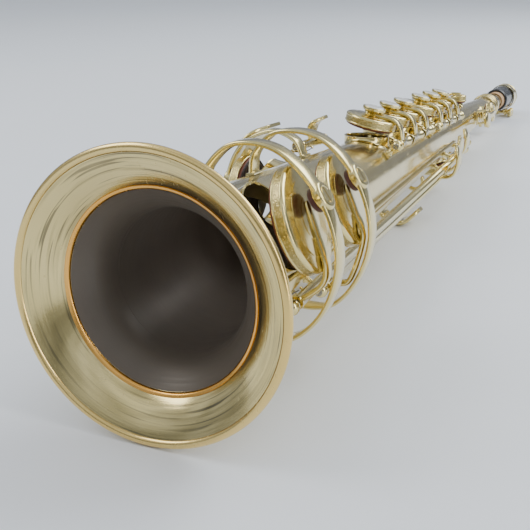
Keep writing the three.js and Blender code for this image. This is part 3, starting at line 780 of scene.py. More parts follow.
def neck():
    s0 = BODY_END + GAP
    r = cone_r
    profile = [(r(s0) - WALL, s0), (r(s0), s0), (r(584), 584), (r(586) + 0.9, 586.2), (r(586) + 0.9, 587.6)]
    profile += [(r(589), 589.6), (r(600), 600), (r(NECK_END), NECK_END), (r(NECK_END) - WALL, NECK_END)]
    shape = lathe(Shape(), fillet(profile, 0.5), segs=96, closed=True)
    piece("neck_tube", shape, [SPUN], replaces=["neck"])

    inner = cone_r(CORK_START) + GAP
    layers = [(inner, CORK_START), (inner + 0.6, CORK_START), (CORK_R - 0.2, CORK_START + 3.6)]
    layers += [(CORK_R, CORK_START + 6), (CORK_R, NECK_END - 1), (CORK_R - 0.5, NECK_END), (inner, NECK_END)]
    shape = lathe(Shape(), fillet(layers, 0.6), segs=64, closed=True)
    piece("cork_sleeve", shape, [CORK], replaces=["neck_cork"])


def neck_receiver():
    """A collar round the neck's joint, slit underneath, with two ears that a screw draws together."""
    inner = cone_r(BODY_END - 8) + GAP
    s0, s1 = BODY_END - 8, BODY_END + 9
    profile = [(0, s0), (1.0, s0), (1.2, s0 + 3), (2, s0 + 3.6), (2, s0 + 5.2), (1.2, s0 + 5.8)]
    profile += [(1.2, s1 - 5.6), (2, s1 - 5), (2, s1 - 0.6), (1.4, s1), (0, s1)]
    profile = fillet([(inner + r, s) for r, s in profile], 0.35)
    shape = lathe(Shape(), profile, segs=96, closed=True)
    collar = piece("receiver_collar", shape, [SPUN], replaces=["neck_receiver"])
    m = frame_at(BODY_END + 4, 270, 3)
    corners = [(-1, -6), (1, -6), (1, 6), (-1, 6)]
    slit = Shape().skin([[m @ Vector((x, y, z)) for x, y in corners] for z in (-7, 7)])
    cut(collar, [mesh_object("slit", slit)])
    ears = Shape()
    base = frame_at(BODY_END + 2, 270, 5.8) @ rot(90, "Z")
    for side in (-1, 1):
        y0 = side * 2.4
        lathe(ears, fillet(drum(4.0, y0 - 1.2, y0 + 1.2), 0.4), base, 32)
        block = frame_at(BODY_END + 2, 270, 2.6) @ shift(y0, 0, 0)
        pts = [block @ Vector((0, a, 0)) for a in (-2.2, 0, 2.8)]
        strap(ears, pts, along(270), 7.4, 2.3, steps=4)
    piece("receiver_ears", ears, [CAST])
    thumb_screw("receiver_thumb_screw", base, ["receiver_screw"])


def thumb_screw(name, matrix, nodes):
    """A turned screw with a fluted head."""
    shape = Shape()
    shank = [(0, -6), (ROD_R - 0.3, -6), (ROD_R, -5.6), (ROD_R, 4.6), (1.9, 5.2), (1.9, 6.0), (2.6, 6.4)]
    lathe(shape, fillet(shank + [(2.6, 6.7), (0, 6.7)], 0.15), matrix, 24)
    flutes = 22
    flute_depth = 0.24
    head = [(0.86, 6.45), (0.97, 6.7), (1.0, 7.0), (1.0, 9.0), (0.96, 9.4), (0.84, 9.7)]
    head += [(0.55, 9.95), (0.3, 9.9)]
    rings = []
    for k, y in head:
        ring = []
        for i in range(flutes * 4):
            r = SCREW_HEAD_R * k
            if k > 0.95:
                r -= flute_depth * (0.5 + 0.5 * math.cos(math.pi * i / 2))
            a = math.pi * i / (flutes * 2)
            ring.append(matrix @ Vector((r * math.cos(a), y, r * math.sin(a))))
        rings.append(ring)
    piece(name, shape.skin(rings), [CAST], replaces=nodes)


# ---- Mouthpiece, reed and ligature ----
BEAK_START = 668.0
TABLE_START = 657.0
BEAK_DROP = 16.2  # how far the beak's roof falls from its start to the tip
TIP_OPENING = 0.9
BAND_R = 12.5
BAND_SLIT = 1.6  # half the opening of the ligature's band
REED_S = (662.0, 705.0)
VAMP_START = 683.0  # where the reed's bark ends


def cut_circle(r, low, roof, narrow, count):
    """A circle of radius r cut flat under low and over roof, with eased corners, as evenly spaced points."""
    a0, a1 = math.asin(max(low / r, -1)), math.asin(min(roof / r, 1))
    angles = [a0 + (a1 - a0) * k / 24 for k in range(25)]
    side = [(r * math.cos(a), r * math.sin(a)) for a in angles]
    foot = [(0, side[0][1])]
    loop = foot + side + [(0, side[-1][1])] + [(-x, z) for x, z in side[::-1]] + foot
    loop = [Vector(p) for p in fillet(loop, 1.3)]
    walked = distances(loop)
    points = []
    k = 0
    for i in range(count):
        goal = walked[-1] * i / count
        while walked[k + 1] < goal:
            k += 1
        share = (goal - walked[k]) / max(walked[k + 1] - walked[k], 1e-9)
        p = loop[k].lerp(loop[k + 1], share)
        points.append((p.x * narrow, p.y))
    return points


def mouthpiece():
    """Turned body, flat table for the reed and a sloping beak that ends in a thin tip."""
    r = MOUTH_R - 0.1
    bore = [(MOUTH_START + y, r, -r, r, 1) for y, r in ((23, 8.2), (0.6, 8.2), (0, 8.3))]
    turned = ((0, 9.2), (0.4, 9.7), (1.6, 10.15), (3, 10.15), (3.6, 9.95), (8, r), (20, r), (29, r))
    body = [(MOUTH_START + y, r, -r, r, 1) for y, r in turned]
    body.append((TABLE_START, r, -r, MOUTH_R, 1))
    start = TABLE_START + 1.5
    for k in range(41):
        s = start + (MOUTH_END - start) * k / 40
        beak = max(s - BEAK_START, 0) / (MOUTH_END - BEAK_START)
        low = TABLE_Z + TIP_OPENING * max(0, (beak - 0.5) * 2) ** 2
        narrow = 1 - 0.38 * max(0, (beak - 0.82) / 0.18) ** 2.6
        body.append((s, r, low, MOUTH_R + 0.3 - BEAK_DROP * beak, narrow))
    rings = []
    for s, r, low, roof, narrow in bore + body:
        rings.append([(x, s, z) for x, z in cut_circle(r, low, roof, narrow, 96)])
    piece("mouthpiece_body", Shape().skin(rings), [EBONITE], replaces=["mouthpiece"])


def reed():
    """Cane blade: rounded bark at the heel, a curved cut and a vamp that thins to the tip."""
    across, length = 16, 44
    s0, s1 = REED_S
    top = TABLE_Z - GAP
    tip_start = s1 - 4
    rings = []
    for i in range(length + 1):
        s = s0 + (s1 - s0) * i / length
        t = max(0.0, (s - VAMP_START) / (s1 - VAMP_START))
        half = 6.0
        if s > tip_start:
            half *= math.sqrt(max(1 - ((s - tip_start) / 4.6) ** 2, 0.05)) * 0.5 + 0.5
        spots = [-1 + 2 * j / across for j in range(across + 1)]
        ring = []
        for u in spots:
            arch = 2.2 * (1 - 0.28 * u * u)
            vamp = max(0.22, 2.1 * (1 - t) ** 1.35 * (1 - 0.35 * u * u * t))
            cut_edge = VAMP_START + 5 - 5.5 * (1 - abs(u)) ** 0.7
            ring.append((half * u, s, top - (arch if s < cut_edge else min(arch, vamp + 0.1))))
        rings.append(ring + [(half * u, s, top) for u in spots[::-1]])
    piece("reed_blade", Shape().skin(rings), [CANE], replaces=["reed"])


def ligature():
    """A rolled band with beaded edges, open under the reed, and two ears drawn together by screws."""
    s0, s1 = LIGATURE_S
    inner_x, inner_z, centre_z = 10.7, 11.2, -0.8
    beads = [(0, s0 + 0.2), (0.7, s0), (0.8, s0 + 0.3), (0.8, s0 + 1.3), (0.5, s0 + 1.7)]
    beads += [(h, s0 + s1 - s) for h, s in beads[::-1]]
    segs = 96
    gap = math.degrees(math.asin(BAND_SLIT / BAND_R))
    rings = []
    for i in range(segs + 1):
        a = rad(270 + gap + (360 - 2 * gap) * i / segs)
        x, z = math.cos(a), math.sin(a)
        rings.append([((inner_x + h) * x, s, (inner_z + h) * z + centre_z) for h, s in beads])
    shape = Shape().skin(rings)
    middle = (s0 + s1) / 2
    for side in (-1, 1):
        x = side * 2.8
        pts = [(x * 0.75, middle, -11.9), (x, middle, -13.4), (x, middle, -15.4), (x, middle, -17.0)]
        strap(shape, pts, ALONG, [15, 15, 14], 2.0, steps=12, round_end=True)
        boss = fillet([(0, -0.2), (2.6, -0.2), (2.6, 1.3), (1.5, 1.5), (0, 1.5)], 0.3)
        for s in SCREW_S:
            lathe(shape, boss, shift(x + side * 0.6, s, SCREW_Z) @ rot(-90 * side, "Z"), 24)
    piece("ligature_band", shape, [CAST], replaces=["ligature"])
    for i, s in enumerate(SCREW_S):
        place = shift(0, s, SCREW_Z) @ rot(-90, "Z")
        thumb_screw(f"ligature_thumb_screw_{i + 1}", place, [f"ligature_screw_{i + 1}"])


# ---- Keywork ----
LOW_LIFT = 8.6  # height of the low keys' rods above the tube
STACK_LIFT = 7  # height of the two stacks' rods
OCTAVE_LIFT = 6.5
CUP_MARGIN = 2.8
HOOK = 1.4  # width of the hook that a spring pushes on
BIG_CUP = 14  # a cup with a larger radius than this is turned in finer steps
SMALL_HOLE = 7  # the pad of a hole no larger than this has no resonator
PLATE_THICK = 1.7
FINGER_PLATE = 8  # a plate wider than this is cut to a finger's shape

# Where each key is: s, angle and radius of its tone hole, angle and height of its rod, span of its hinge
# tube, how far it swings, whether it stands open at rest, and its touch plates as (deg, lift) points.
LOW_KEYS = [
    dict(name="low_bb", s=50, cup=35, hole=16, hinge=-17, lift=LOW_LIFT, barrel=(46, 337), swing=14, open=True,
         plates=[dict(s=329, width=14, path=[(-17, 8.6), (-6, 10.5), (8, 10.5), (22, 9.5)])]),
    dict(name="low_b", s=92, cup=35, hole=15, hinge=-32, lift=LOW_LIFT, barrel=(88, 316), swing=13, open=True,
         over=[(-25, 11.6), (-17, 13.8)],
         plates=[dict(s=309, width=12, path=[(-32, 8.6), (-25, 12), (-16, 14), (0, 13), (16, 10)])]),
    dict(name="low_c", s=148, cup=170, hole=14, hinge=228, lift=LOW_LIFT, barrel=(143, 176), swing=13,
         plates=[dict(s=171, width=6, path=[(228, 8.6), (210, 14.5), (185, 16.5), (160, 17), (146, 17)]),
                 dict(s=170, width=32, path=[(158, 16), (150, 18), (140, 18.6), (128, 17.5), (118, 15)])],
         open=True),
    dict(name="low_eb", s=192, cup=186, hole=12, hinge=138, lift=LOW_LIFT, barrel=(185, 212), swing=11,
         plates=[dict(s=202, width=14, path=[(138, 8.6), (132, 13), (125, 15.5), (115, 15.5)])]),
]
STACK = [
    dict(name="d", s=224, hole=10.5, hinge=44, barrel=(218, 237), swing=12),
    dict(name="e", s=254, hole=10, hinge=44, barrel=(242, 266), swing=12),
    dict(name="f", s=283, hole=9.5, hinge=44, barrel=(271, 289), swing=12),
    dict(name="g", s=322, hole=9, hinge=42, barrel=(316, 334), swing=13),
    dict(name="a", s=350, hole=8.5, hinge=42, barrel=(339, 361), swing=13),
    dict(name="b", s=377, hole=8, hinge=42, barrel=(366, 383), swing=13),
]
SIDE_KEYS = [
    dict(name="g_sharp", s=368, cup=-72, hole=7, hinge=-17, lift=LOW_LIFT, barrel=(344, 374), swing=12,
         plates=[dict(s=350, width=12, path=[(-17, 8.6), (-6, 12), (8, 13.5), (22, 13)])]),
    dict(name="side_c", s=404, cup=136, hole=6, hinge=180, lift=STACK_LIFT, barrel=(266, 408), swing=12,
         plates=[dict(s=275, width=18, path=[(180, 7), (190, 10.5), (202, 12.5), (214, 12.5)])]),
    dict(name="octave", s=462, cup=95, hole=2.2, hinge=158, lift=OCTAVE_LIFT, barrel=(446, 470), swing=8.25,
         plates=[dict(s=451, width=5, path=[(158, 6.5), (172, 8.3), (186, 8.6), (200, 7.6)])]),
]
STACK = [dict(key, cup=90, lift=STACK_LIFT, open=True, pearl=True) for key in STACK]
KEYS = LOW_KEYS + STACK + SIDE_KEYS
THUMB = dict(hinge=290, lift=OCTAVE_LIFT, barrel=(405, 470))
PALM = dict(name="palm_d", s=508, cup=12, hole=5)
PALM_HINGE_S = 474
PALM_HINGE = frame_at(PALM_HINGE_S, PALM["cup"], 8) @ rot(90, "Z")


def across(s, pairs):
    """The points (deg, lift) of a line round the tube at s."""
    return [at(s, deg, lift) for deg, lift in pairs]


def lengthwise(deg, pairs):
    return [at(s, deg, lift) for s, lift in pairs]


def opened(key):
    """The turn about the key's rod that stands it open at rest."""
    if not key.get("open"):
        return Matrix.Identity(4)
    angle = rad(key["swing"] * (1 if key["cup"] > key["hinge"] else -1))
    origin = at(key["s"], key["hinge"], key["lift"])
    turned = Matrix.Rotation(angle, 4, along(key["hinge"]))
    return Matrix.Translation(origin) @ turned @ Matrix.Translation(-origin)


def tube_between(shape, s0, s1, deg, lift, profile, segs=24):
    """Turns (r, y) points, y from 0 at s0, about a line along the tube."""
    m = frame_at((s0 + s1) / 2, deg, lift) @ rot(90, "X") @ shift(0, (s0 - s1) / 2, 0)
    lathe(shape, profile, m, segs)


def hinge_tube(shape, s0, s1, deg, lift):
    """A hinge tube with a faint collar at each end and open mouths round its rod."""
    n = s1 - s0
    start = [(BARREL_BORE, 0), (BARREL_R - 0.1, 0), (BARREL_R, 0.15), (BARREL_R, 1.5), (BARREL_R - 0.25, 1.9)]
    end = [(r, n - y) for r, y in start[::-1]]
    tube_between(shape, s0, s1, deg, lift, start + end + [(BARREL_BORE, n - 0.02), (BARREL_BORE, 0)])


def cup_shell(shape, m, r):
    """A pressed key cup: beaded lip, frosted wall, rounded shoulder and a low stepped dome."""
    segs = 96 if r > BIG_CUP else 64
    lip = [(0, 4.3), (r - 0.8, 4.3), (r - 0.8, 1.6), (r - 0.35, 1.5), (r, 1.75), (r, 2.15), (r - 0.2, 2.4)]
    lathe(shape, fillet(lip, 0.2, 2), m, segs)
    lathe(shape, [(r - 0.2, 2.4), (r - 0.2, 4.7)], m, segs, mat=1)
    crown = [(r - 0.2, 4.7), (r - 0.02, 4.9), (r - 0.05, 5.3), (r - 0.5, 5.9), (r - 1.3, 6.2)]
    crown += [(r - 2.2, 6.28), (r * 0.72, 6.5), (r * 0.7, 6.62), (r * 0.4, 6.85), (r * 0.38, 7.0), (0, 7.1)]
    lathe(shape, fillet(crown, 0.22, 2), m, segs)


def leather_pad(name, m, r, turned, nodes):
    """Leather pad: a swollen face with the tone hole's ring pressed into it."""
    segs = 96 if r > BIG_CUP else 56
    edge = r - 0.9
    seat = r - CUP_MARGIN + 0.8
    face = [(0, 0.75), (seat - 2.4, 0.62), (seat - 1.2, 0.36), (seat - 0.45, 0.5), (seat, 0.72)]
    face += [(seat + 0.45, 0.5), (edge - 0.75, 0.33), (edge - 0.3, 0.6)]
    face = [(min(a, edge - 0.3), y) for a, y in face]
    side = [(edge - 0.3, 0.6), (edge, 1.0), (edge, 1.5), (edge - 0.1, 4.0), (0, 4.0)]
    leather = lathe(Shape(), fillet(face, 0.5, 3), m, segs)
    # The side takes the lighter copy of the leather, painted as if lit.
    lathe(leather, fillet(side, 0.3, 3), m, segs, mat=1)
    pad = piece(f"{name}_leather_pad", leather.turn(turned), [LEATHER, PAD_SIDE_PAINTED_LIGHT], name, nodes)


def resonator(name, m, r, turned):
    """The domed metal disc in the middle of a pad."""
    k = r * 0.42
    disc = [(0, 0.32), (1.3, 0.36), (1.5, 0.5), (k - 0.8, 0.55), (k - 0.2, 0.62), (k, 0.8)]
    disc += [(k - 0.3, 1.1), (0, 1.1)]
    metal = lathe(Shape(), fillet(disc, 0.15, 2), m, 48)
    piece(f"{name}_resonator", metal.turn(turned), [RESONATOR], name)


def pearl_touch(metal, name, m, turned):
    """Adds the pearl's holder to the key's metal, and makes the pearl."""
    ring = [(0, 6.2), (2.6, 6.2), (3.0, 7.6), (4.6, 8.8), (5.8, 9.2), (5.95, 9.6), (5.95, 10.7), (5.6, 10.95)]
    ring += [(5.25, 10.8), (5.2, 10.35), (0, 10.3)]
    lathe(metal, fillet(ring, 0.25, 2), m, 64)
    stone = [(0, 10.45), (5.05, 10.45), (5.05, 10.9), (4.7, 11.25), (3.6, 11.4), (1.6, 11.25), (0, 11.15)]
    disc = lathe(Shape(), fillet(stone, 0.25, 3), m, 64).turn(turned)
    piece(f"{name}_pearl_disc", disc, [PEARL], name, [f"{name}_pearl"])


def cup_radius(key):
    return key["hole"] + CUP_MARGIN + (1 if key["hole"] < 5 else 0)


def arm_path(key):
    """The same line as the CAD arm: from the hinge tube up over the cup's edge and along its crown."""
    r = cup_radius(key)
    s, cup, hinge, lift = key["s"], key["cup"], key["hinge"], key["lift"]
    base = cone_r(s) + CHIMNEY
    reach = (cone_r(s) + lift) * math.sin(rad(abs(hinge - cup)))
    aside = round_the_tube(cup) * (1 if hinge > cup else -1)
    path = across(s, [(hinge, lift)] + key.get("over", []))
    crossing = [(r * 0.9, CUP_TOP), (r * 0.35, CUP_TOP + 0.2), (-r * 0.3, CUP_TOP - 0.2)]
    if "over" not in key:
        crossing.insert(0, (r + max(reach - r, 2) * 0.55, 3.6))
    return path + [aside * u + outward(cup) * (base + w) + ALONG * s for u, w in crossing]


def hook_s(key):
    """Where the spring's hook is, under the hinge tube."""
    s0, s1 = key["barrel"]
    return s0 + min(12, (s1 - s0) * 0.4)


def key_piece(key):
    r = cup_radius(key)
    name, hinge, lift = key["name"], key["hinge"], key["lift"]
    turned = opened(key)
    m = frame_at(key["s"], key["cup"], CHIMNEY)
    metal = Shape()
    hinge_tube(metal, *key["barrel"], hinge, lift)
    cup_shell(metal, m, r)
    w = min(5, 1.6 + r * 0.28)
    strap(metal, arm_path(key), ALONG, [w * 0.8, w, w, w * 0.9, w * 0.55], 2.0, 40, round_end=True)
    for plate in key.get("plates", []):
        w = plate["width"]
        widths = [w * 0.5, w * 0.8, w, w, w * 0.9] if w > FINGER_PLATE else [w, w, w * 0.9]
        strap(metal, across(plate["s"], plate["path"]), ALONG, widths, PLATE_THICK, 36, round_end=True)
    strap(metal, [at(hook_s(key), hinge, lift - BARREL_R + y) for y in (0.6, -0.9)], ALONG, HOOK, 0.9, 3)
    if key.get("pearl"):
        pearl_touch(metal, name, m, turned)
    piece(f"{name}_key_metal", metal.turn(turned), [CAST, MILLED], name, [f"{name}_key"])
    pad_node = f"{name}_pad"
    leather_pad(name, m, r, turned, [pad_node] if pad_node in frame["nodes"] else [])
    if key["hole"] > SMALL_HOLE:
        resonator(name, m, r, turned)


def thumb_lever():
    shape = Shape()
    hinge_tube(shape, *THUMB["barrel"], THUMB["hinge"], THUMB["lift"])
    plate = across(412, [(290, 6.5), (280, 9), (268, 10.5), (252, 10.5)])
    strap(shape, plate, ALONG, [7, 10, 11, 10], PLATE_THICK, 30, round_end=True)
    tail = across(451, [(290, 6.5), (272, 9.8), (252, 11), (230, 11.2), (212, 11), (200, 10.6)])
    strap(shape, tail, ALONG, [5, 4.6, 4.4, 4.4, 4.8], PLATE_THICK, 40, round_end=True)
    piece("octave_thumb_metal", shape, [CAST], "octave_thumb", ["octave_thumb_lever"])


def palm_key():
    deg = PALM["cup"]
    r = cup_radius(PALM)
    m = frame_at(PALM["s"], deg, CHIMNEY)
    wide = round_the_tube(deg)
    shape = Shape()
    cup_shell(shape, m, r)
    lever = [(444, 13.5), (460, 12.2), (474, 9.5), (490, 10.5), (PALM["s"] + 2, CHIMNEY + CUP_TOP - 0.2)]
    strap(shape, lengthwise(deg, lever), wide, [5, 4.2, 4.4, 3.6, 2.6], 1.9, 48, round_end=True)
    touch = lengthwise(deg, [(434, 12.5), (442, 13.6), (452, 13.2)])
    strap(shape, touch, wide, [9.5, 11, 10, 7], PLATE_THICK, 28, round_start=True, round_end=True)
    bore = BARREL_BORE
    barrel = [(bore, -3.2), (BARREL_R, -3.2), (BARREL_R, 3.2), (bore, 3.2), (bore, -3.2)]
    lathe(shape, fillet(barrel, 0.2, 2), PALM_HINGE, 28)
    piece("palm_d_metal", shape, [CAST, MILLED], "palm_d", ["palm_d_key"])
    leather_pad("palm_d", m, r, Matrix.Identity(4), [])


# ---- Posts, ribs and rods ----
# Each rib: name, span, angle, width, and the (s, deg) of its posts, which are all lift high.
RIBS = [
    ("low_key", 38, 382, -22, 9, LOW_LIFT, [(42, -17), (340.5, -17), (378, -17), (84, -32), (320, -32)]),
    ("low_c", 136, 184, 228, 7, LOW_LIFT, [(139.5, 228), (180, 228)]),
    ("low_eb", 178, 220, 138, 5, LOW_LIFT, [(181.5, 138), (216, 138)]),
    ("lower_stack", 210, 297, 44, 4.4, STACK_LIFT, [(214, 44), (293, 44)]),
    ("upper_stack", 308, 391, 42, 4.4, STACK_LIFT, [(312, 42), (387, 42)]),
    ("side_key", 258, 416, 180, 5, STACK_LIFT, [(262, 180), (412, 180)]),
]
# Each rod: name, span, angle, height, and the two posts it ends in.
RODS = [
    ("low_bb", 39.5, 381, -17, LOW_LIFT, (42, 378)),
    ("low_b", 81.5, 323, -32, LOW_LIFT, (84, 320)),
    ("low_c", 137, 183, 228, LOW_LIFT, (139.5, 180)),
    ("low_eb", 179, 219, 138, LOW_LIFT, (181.5, 216)),
    ("lower_stack", 211.5, 296, 44, STACK_LIFT, (214, 293)),
    ("upper_stack", 309.5, 390, 42, STACK_LIFT, (312, 387)),
    ("side_c", 259.5, 414.5, 180, STACK_LIFT, (262, 412)),
]
SPRING_POSTS = dict(low_bb=42, low_b=84, low_c=139.5, low_eb=181.5, d=214, g=312, side_c=262, g_sharp=340.5)
OCTAVE_RODS = [(443, 473, 158), (402, 473, THUMB["hinge"])]


def ball_post(shape, s, deg, lift):
    """A turned post: spread foot, waist, collar and a ball that carries the rod's end."""
    foot = 1.3 - lift
    profile = [(0, foot), (2.0, foot), (2.0, foot + 0.35), (1.25, foot + 0.9), (1.05, -POST_R - 0.4)]
    profile.append((1.5, -POST_R + 0.05))
    profile += [(POST_R * math.sin(rad(a)), -POST_R * math.cos(rad(a)) * 0.97) for a in range(34, 170, 12)]
    profile.append((0, POST_R * 0.86))
    lathe(shape, fillet(profile, 0.15, 2), frame_at(s, deg, lift), 32)


def rod_ends(shape, posts, deg, lift):
    """The slotted ends of a hinge screw, in the faces of the posts it runs between."""
    for s, turned in zip(posts, (-90, 90)):
        slotted_head(shape, frame_at(s, deg, lift) @ rot(turned, "X") @ shift(0, 2.35, 0), 1.5, 0.7, 0.28)


def ribs():
    for name, s0, s1, deg, width, lift, posts in RIBS:
        shape = Shape()
        half = math.degrees(width / 2 / cone_r((s0 + s1) / 2))
        saddle(shape, s0, s1, deg - half, deg + half, 0.12, 1.35, steps=6)
        for s, d in posts:
            ball_post(shape, s, d, lift)
        piece(f"{name}_post_rib", shape, [CAST], replaces=[f"{name}_rib"])


def rods():
    for name, s0, s1, deg, lift, posts in RODS:
        shape = Shape()
        n = s1 - s0
        profile = [(0, 0), (ROD_R - 0.15, 0), (ROD_R, 0.15), (ROD_R, n - 0.15), (ROD_R - 0.15, n), (0, n)]
        tube_between(shape, s0, s1, deg, lift, profile, 20)
        rod_ends(shape, posts, deg, lift)
        piece(f"{name}_hinge_rod", shape, [STEEL], replaces=[f"{name}_rod"])


def springs():
    """Needle springs, from a post to just short of the hook under the key's hinge tube."""
    shape = Shape()
    for key in [k for k in KEYS if k["name"] in SPRING_POSTS]:
        post = SPRING_POSTS[key["name"]]
        deg, lift = key["hinge"], key["lift"]
        end = hook_s(key) - HOOK / 2 - 0.15
        low = lift - BARREL_R
        middle = at((post + end) / 2, deg + 0.5, low - 1.0)
        line = [at(post, deg, lift - POST_R * 0.95), middle, at(end, deg, low - 0.55)]
        wire(shape, line, 0.32, 14, 6, taper=0.6)
    piece("needle_springs", shape, [BLUED])


def octave_saddle():
    shape = Shape()
    for s in (443, 473):
        saddle(shape, s - 2.5, s + 2.5, 152, 290, 0.6, 1.95, steps=40)
    half = math.degrees(3 / cone_r(438))
    saddle(shape, 400, 476, THUMB["hinge"] - half, THUMB["hinge"] + half, 0.35, 1.4, steps=6)
    rod = Shape()
    for s0, s1, deg in OCTAVE_RODS:
        ball_post(shape, s0, deg, OCTAVE_LIFT)
        ball_post(shape, s1, deg, OCTAVE_LIFT)
        tube_between(rod, s0, s1, deg, OCTAVE_LIFT, drum(ROD_R, 0, s1 - s0), 20)
        rod_ends(rod, (s0, s1), deg, OCTAVE_LIFT)
    piece("octave_post_saddle", shape, [CAST], replaces=["octave_saddle"])
    piece("octave_hinge_rods", rod, [STEEL])


def palm_saddle():
    shape = Shape()
    saddle(shape, PALM_HINGE_S - 3.5, PALM_HINGE_S + 3.5, -12, 36, 0.6, 1.95, steps=16)
    deg = PALM["cup"]
    for side in (-1, 1):
        m = frame_at(PALM_HINGE_S, deg, 5.2) @ shift(side * 4.6, 0, 0)
        pts = [m @ Vector((0, y, 0)) for y in (-3.9, -1, 2, 4.4)]
        strap(shape, pts, along(deg), [5, 4.8, 4.6, 4.6], 1.5, 16, round_end=True)
    rod = lathe(Shape(), drum(ROD_R, -5.6, 5.6), PALM_HINGE, 20)
    slotted_head(rod, PALM_HINGE @ shift(0, 5.35, 0), 1.7, 0.7, 0.28)
    piece("palm_post_saddle", shape, [CAST], replaces=["palm_key_saddle"])
    piece("palm_hinge_rods", rod, [STEEL])


# ---- Guards and hand rests ----
GUARD_WIDTH = 7.6
GUARD_FOOT = 5  # half the angle that a guard's foot spans
GUARDS = [
    dict(name="low_bb", s=50, felt=35,
         path=[(99, 1.1), (94, 9), (80, 18), (60, 22.5), (35, 22.4), (10, 21.4), (-14, 18.4), (-36, 14),
               (-52, 7), (-58, 1.1)]),
    dict(name="low_b", s=92, felt=35,
         path=[(101, 1.1), (96, 9), (82, 17.5), (60, 22.1), (35, 22), (10, 21), (-14, 18.6), (-38, 15.6),
               (-58, 8), (-64, 1.1)]),
    dict(name="low_c", s=148, felt=170,
         path=[(104, 1.1), (109, 9), (124, 16.5), (146, 21), (170, 21), (196, 20.5), (220, 22.4), (240, 23.9),
               (252, 20.8), (258, 10), (261, 1.1)]),
]


def guard(g):
    """A bent strip over the cup, soldered feet on the tube, and a boss that holds the felt's screw."""
    name, s, path = g["name"], g["s"], g["path"]
    shape = Shape()
    strap(shape, across(s, path), ALONG, GUARD_WIDTH, 1.6, 90)
    for end, _ in (path[0], path[-1]):
        saddle(shape, s - 4.5, s + 4.5, end - GUARD_FOOT, end + GUARD_FOOT, 0.15, 1.2, steps=8)
    m = frame_at(s, g["felt"], 0) @ shift(0, dict(path)[g["felt"]], 0)
    boss = [(0, -1.6), (4.9, -1.6), (5.2, -1.3), (5.2, 0.9), (4.6, 1.5), (3.2, 1.6), (3.0, 1.2), (0, 1.1)]
    lathe(shape, fillet(boss, 0.3, 2), m, 48)
    piece(f"{name}_guard_bow", shape, [CAST], replaces=[f"{name}_guard"])
    cushion = [(0, -4), (3.7, -4), (4.35, -3.4), (4.4, -2.2), (4.2, -1.7), (0, -1.7)]
    felt = lathe(Shape(), fillet(cushion, 0.3, 3), m, 48)
    piece(f"{name}_felt", felt, [FELT], replaces=[f"{name}_bumper"])
    screw = Shape()
    slotted_head(screw, m @ shift(0, 1.0, 0), 2.9, 0.55, 0.35)
    piece(f"{name}_felt_screw", screw, [CAST])


def hand_rests():
    hook = Shape()
    saddle(hook, 265, 285, 244, 280, 0.8, 2.2, steps=14)
    line = across(275, [(262, 1.2), (260, 8), (268, 15), (286, 18.4), (306, 15)])
    strap(hook, line, ALONG, [15, 13, 13.5, 14, 13], 2.3, 60, round_end=True)
    for s in (268, 282):
        slotted_head(hook, frame_at(s, 249, 2.0), 1.7, 0.7, 0.3)
    piece("thumb_hook_cast", hook, [CAST], replaces=["thumb_hook"])

    eye = Shape()
    saddle(eye, 329, 341, 250, 290, 0.8, 2.2, steps=14)
    ring = [(5.25 + 1.32 * u, 1.45 * v) for u, v in circle(1, 20)]
    lathe(eye, ring, frame_at(335, 270, 7.2) @ rot(90, "X"), 56, closed=True)
    piece("strap_ring_eye", eye, [CAST], replaces=["strap_ring"])

    rest = Shape()
    saddle(rest, 386, 398, 252, 288, 0.8, 2.2, steps=14)
    disc = [(0, 0.2), (6.4, 0.2), (7.2, 0.9), (7.5, 1.7), (7.5, 2.6), (7.0, 3.1), (4.5, 3.2), (2, 2.9)]
    disc.append((0, 2.8))
    lathe(rest, fillet(disc, 0.4, 3), frame_at(392, 270, 1.8), 56)
    piece("thumb_rest_button", rest, [CAST], replaces=["thumb_rest"])


bell()
bell_ring()
body_tube()
neck()
neck_receiver()
mouthpiece()
reed()
ligature()
ribs()
rods()
springs()
octave_saddle()
palm_saddle()
for k in KEYS:
    key_piece(k)
thumb_lever()
palm_key()
for g in GUARDS:
    guard(g)
hand_rests()


# ---- Floor, light and camera ----
def floor():
    far = 3.0
    mesh = bpy.data.meshes.new("floor")
    mesh.from_pydata([(-far, -far, 0), (far, -far, 0), (far, far, 0), (-far, far, 0)], [], [(0, 1, 2, 3)])
    obj = bpy.data.objects.new("floor", mesh)
    bpy.context.scene.collection.objects.link(obj)
    mat, n = material("floor_paper")
    n.color(n.blend(n.noise(3, 3), (0.86, 0.885, 0.92), (0.83, 0.855, 0.89)))
    n.bump([(n.noise(500, 3), 0.05)])
    n.set(Roughness=0.6)
    mesh.materials.append(mat)


def area_light(name, place, target, size, power, color=(1, 1, 1)):
    data = bpy.data.lights.new(name, "AREA")
    data.shape = "RECTANGLE"
    data.size, data.size_y = size
    data.energy = power
    data.color = color
    obj = bpy.data.objects.new(name, data)
    obj.location = place
    obj.rotation_euler = (Vector(target) - Vector(place)).to_track_quat("-Z", "Y").to_euler()
    bpy.context.scene.collection.objects.link(obj)


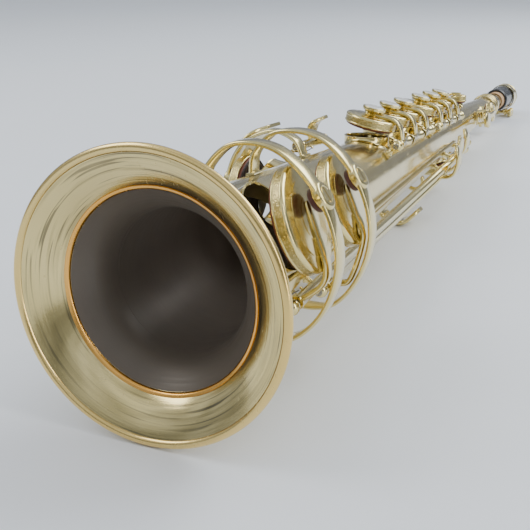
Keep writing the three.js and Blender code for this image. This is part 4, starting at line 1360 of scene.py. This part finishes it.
def world():
    """A pale room: cool and bright overhead, dimmer at eye level, with soft bands for metal to mirror."""
    w = bpy.data.worlds.new("studio")
    bpy.context.scene.world = w
    w.use_nodes = True
    n = Nodes(w.node_tree)
    around = n.new("TexCoord").outputs["Generated"]
    height = n.between(n.split(around)[2], -1.0, 1.0)
    stops = [(0.0, (0.62, 0.66, 0.72)), (0.48, (0.30, 0.32, 0.36)), (0.62, (0.34, 0.37, 0.42))]
    light = n.ramp(height, stops + [(0.8, (0.72, 0.77, 0.84)), (1.0, (0.90, 0.95, 1.0))])
    bands = n.noise(1.6, 2, 0.5, n.stretched((1.2, 1.2, 9.0), around))
    contrast = n.between(bands, 0.38, 0.62, to=(0.45, 1.35))
    banded = n.fill(n.new("VectorMath", operation="SCALE"), Vector=light, Scale=contrast)[0]
    seen = n.new("LightPath").outputs["Is Camera Ray"]
    n.fill(w.node_tree.nodes["Background"], Color=n.blend(seen, banded, (0.62, 0.65, 0.69)), Strength=1.0)


VIEW_AZ = 32.0
VIEW_EL = 21.5
VIEW_DISTANCE = 0.27
MARGIN = 0.025
SENSOR = 36


def camera():
    """The photo's viewing angle and distance from the bell, turned and zoomed to hold the whole horn."""
    az, el = rad(VIEW_AZ), rad(VIEW_EL)
    back = Vector((math.sin(az) * math.cos(el), -math.cos(az) * math.cos(el), math.sin(el)))
    place = HORN @ Vector((0, 0, 0)) + back * VIEW_DISTANCE
    outline = []
    for s, r in ((0, BELL_R + 1), (60, 44), (150, 44), (300, 34), (450, 28), (560, 14), (650, 13), (705, 8)):
        outline += [HORN @ (outward(d) * r + ALONG * s) - place for d in range(0, 360, 30)]
    look = -back
    for _ in range(40):
        right = look.cross(Vector((0, 0, 1))).normalized()
        up = right.cross(look)
        xs = [p.dot(right) / p.dot(look) for p in outline]
        ys = [p.dot(up) / p.dot(look) for p in outline]
        look = (look + right * (min(xs) + max(xs)) * 0.4 + up * (min(ys) + max(ys)) * 0.4).normalized()
    data = bpy.data.cameras.new("view")
    data.sensor_width = SENSOR
    data.lens = SENSOR * (1 - 2 * MARGIN) / max(max(xs) - min(xs), max(ys) - min(ys))
    data.clip_start = 0.01
    obj = bpy.data.objects.new("view", data)
    obj.rotation_euler = look.to_track_quat("-Z", "Y").to_euler()
    obj.location = place
    bpy.context.scene.collection.objects.link(obj)
    bpy.context.scene.camera = obj


floor()
world()
area_light("window_softbox", (0.9, 1.1, 1.3), (0, 0.0, 0), (1.6, 1.0), 30, (0.93, 0.97, 1))
area_light("key_softbox", (-1.0, -0.5, 1.2), (0, -0.25, 0), (1.0, 0.7), 9)
area_light("side_strip", (1.2, -0.5, 0.45), (0, -0.2, 0.05), (0.25, 1.4), 7, (1, 0.98, 0.95))
camera()
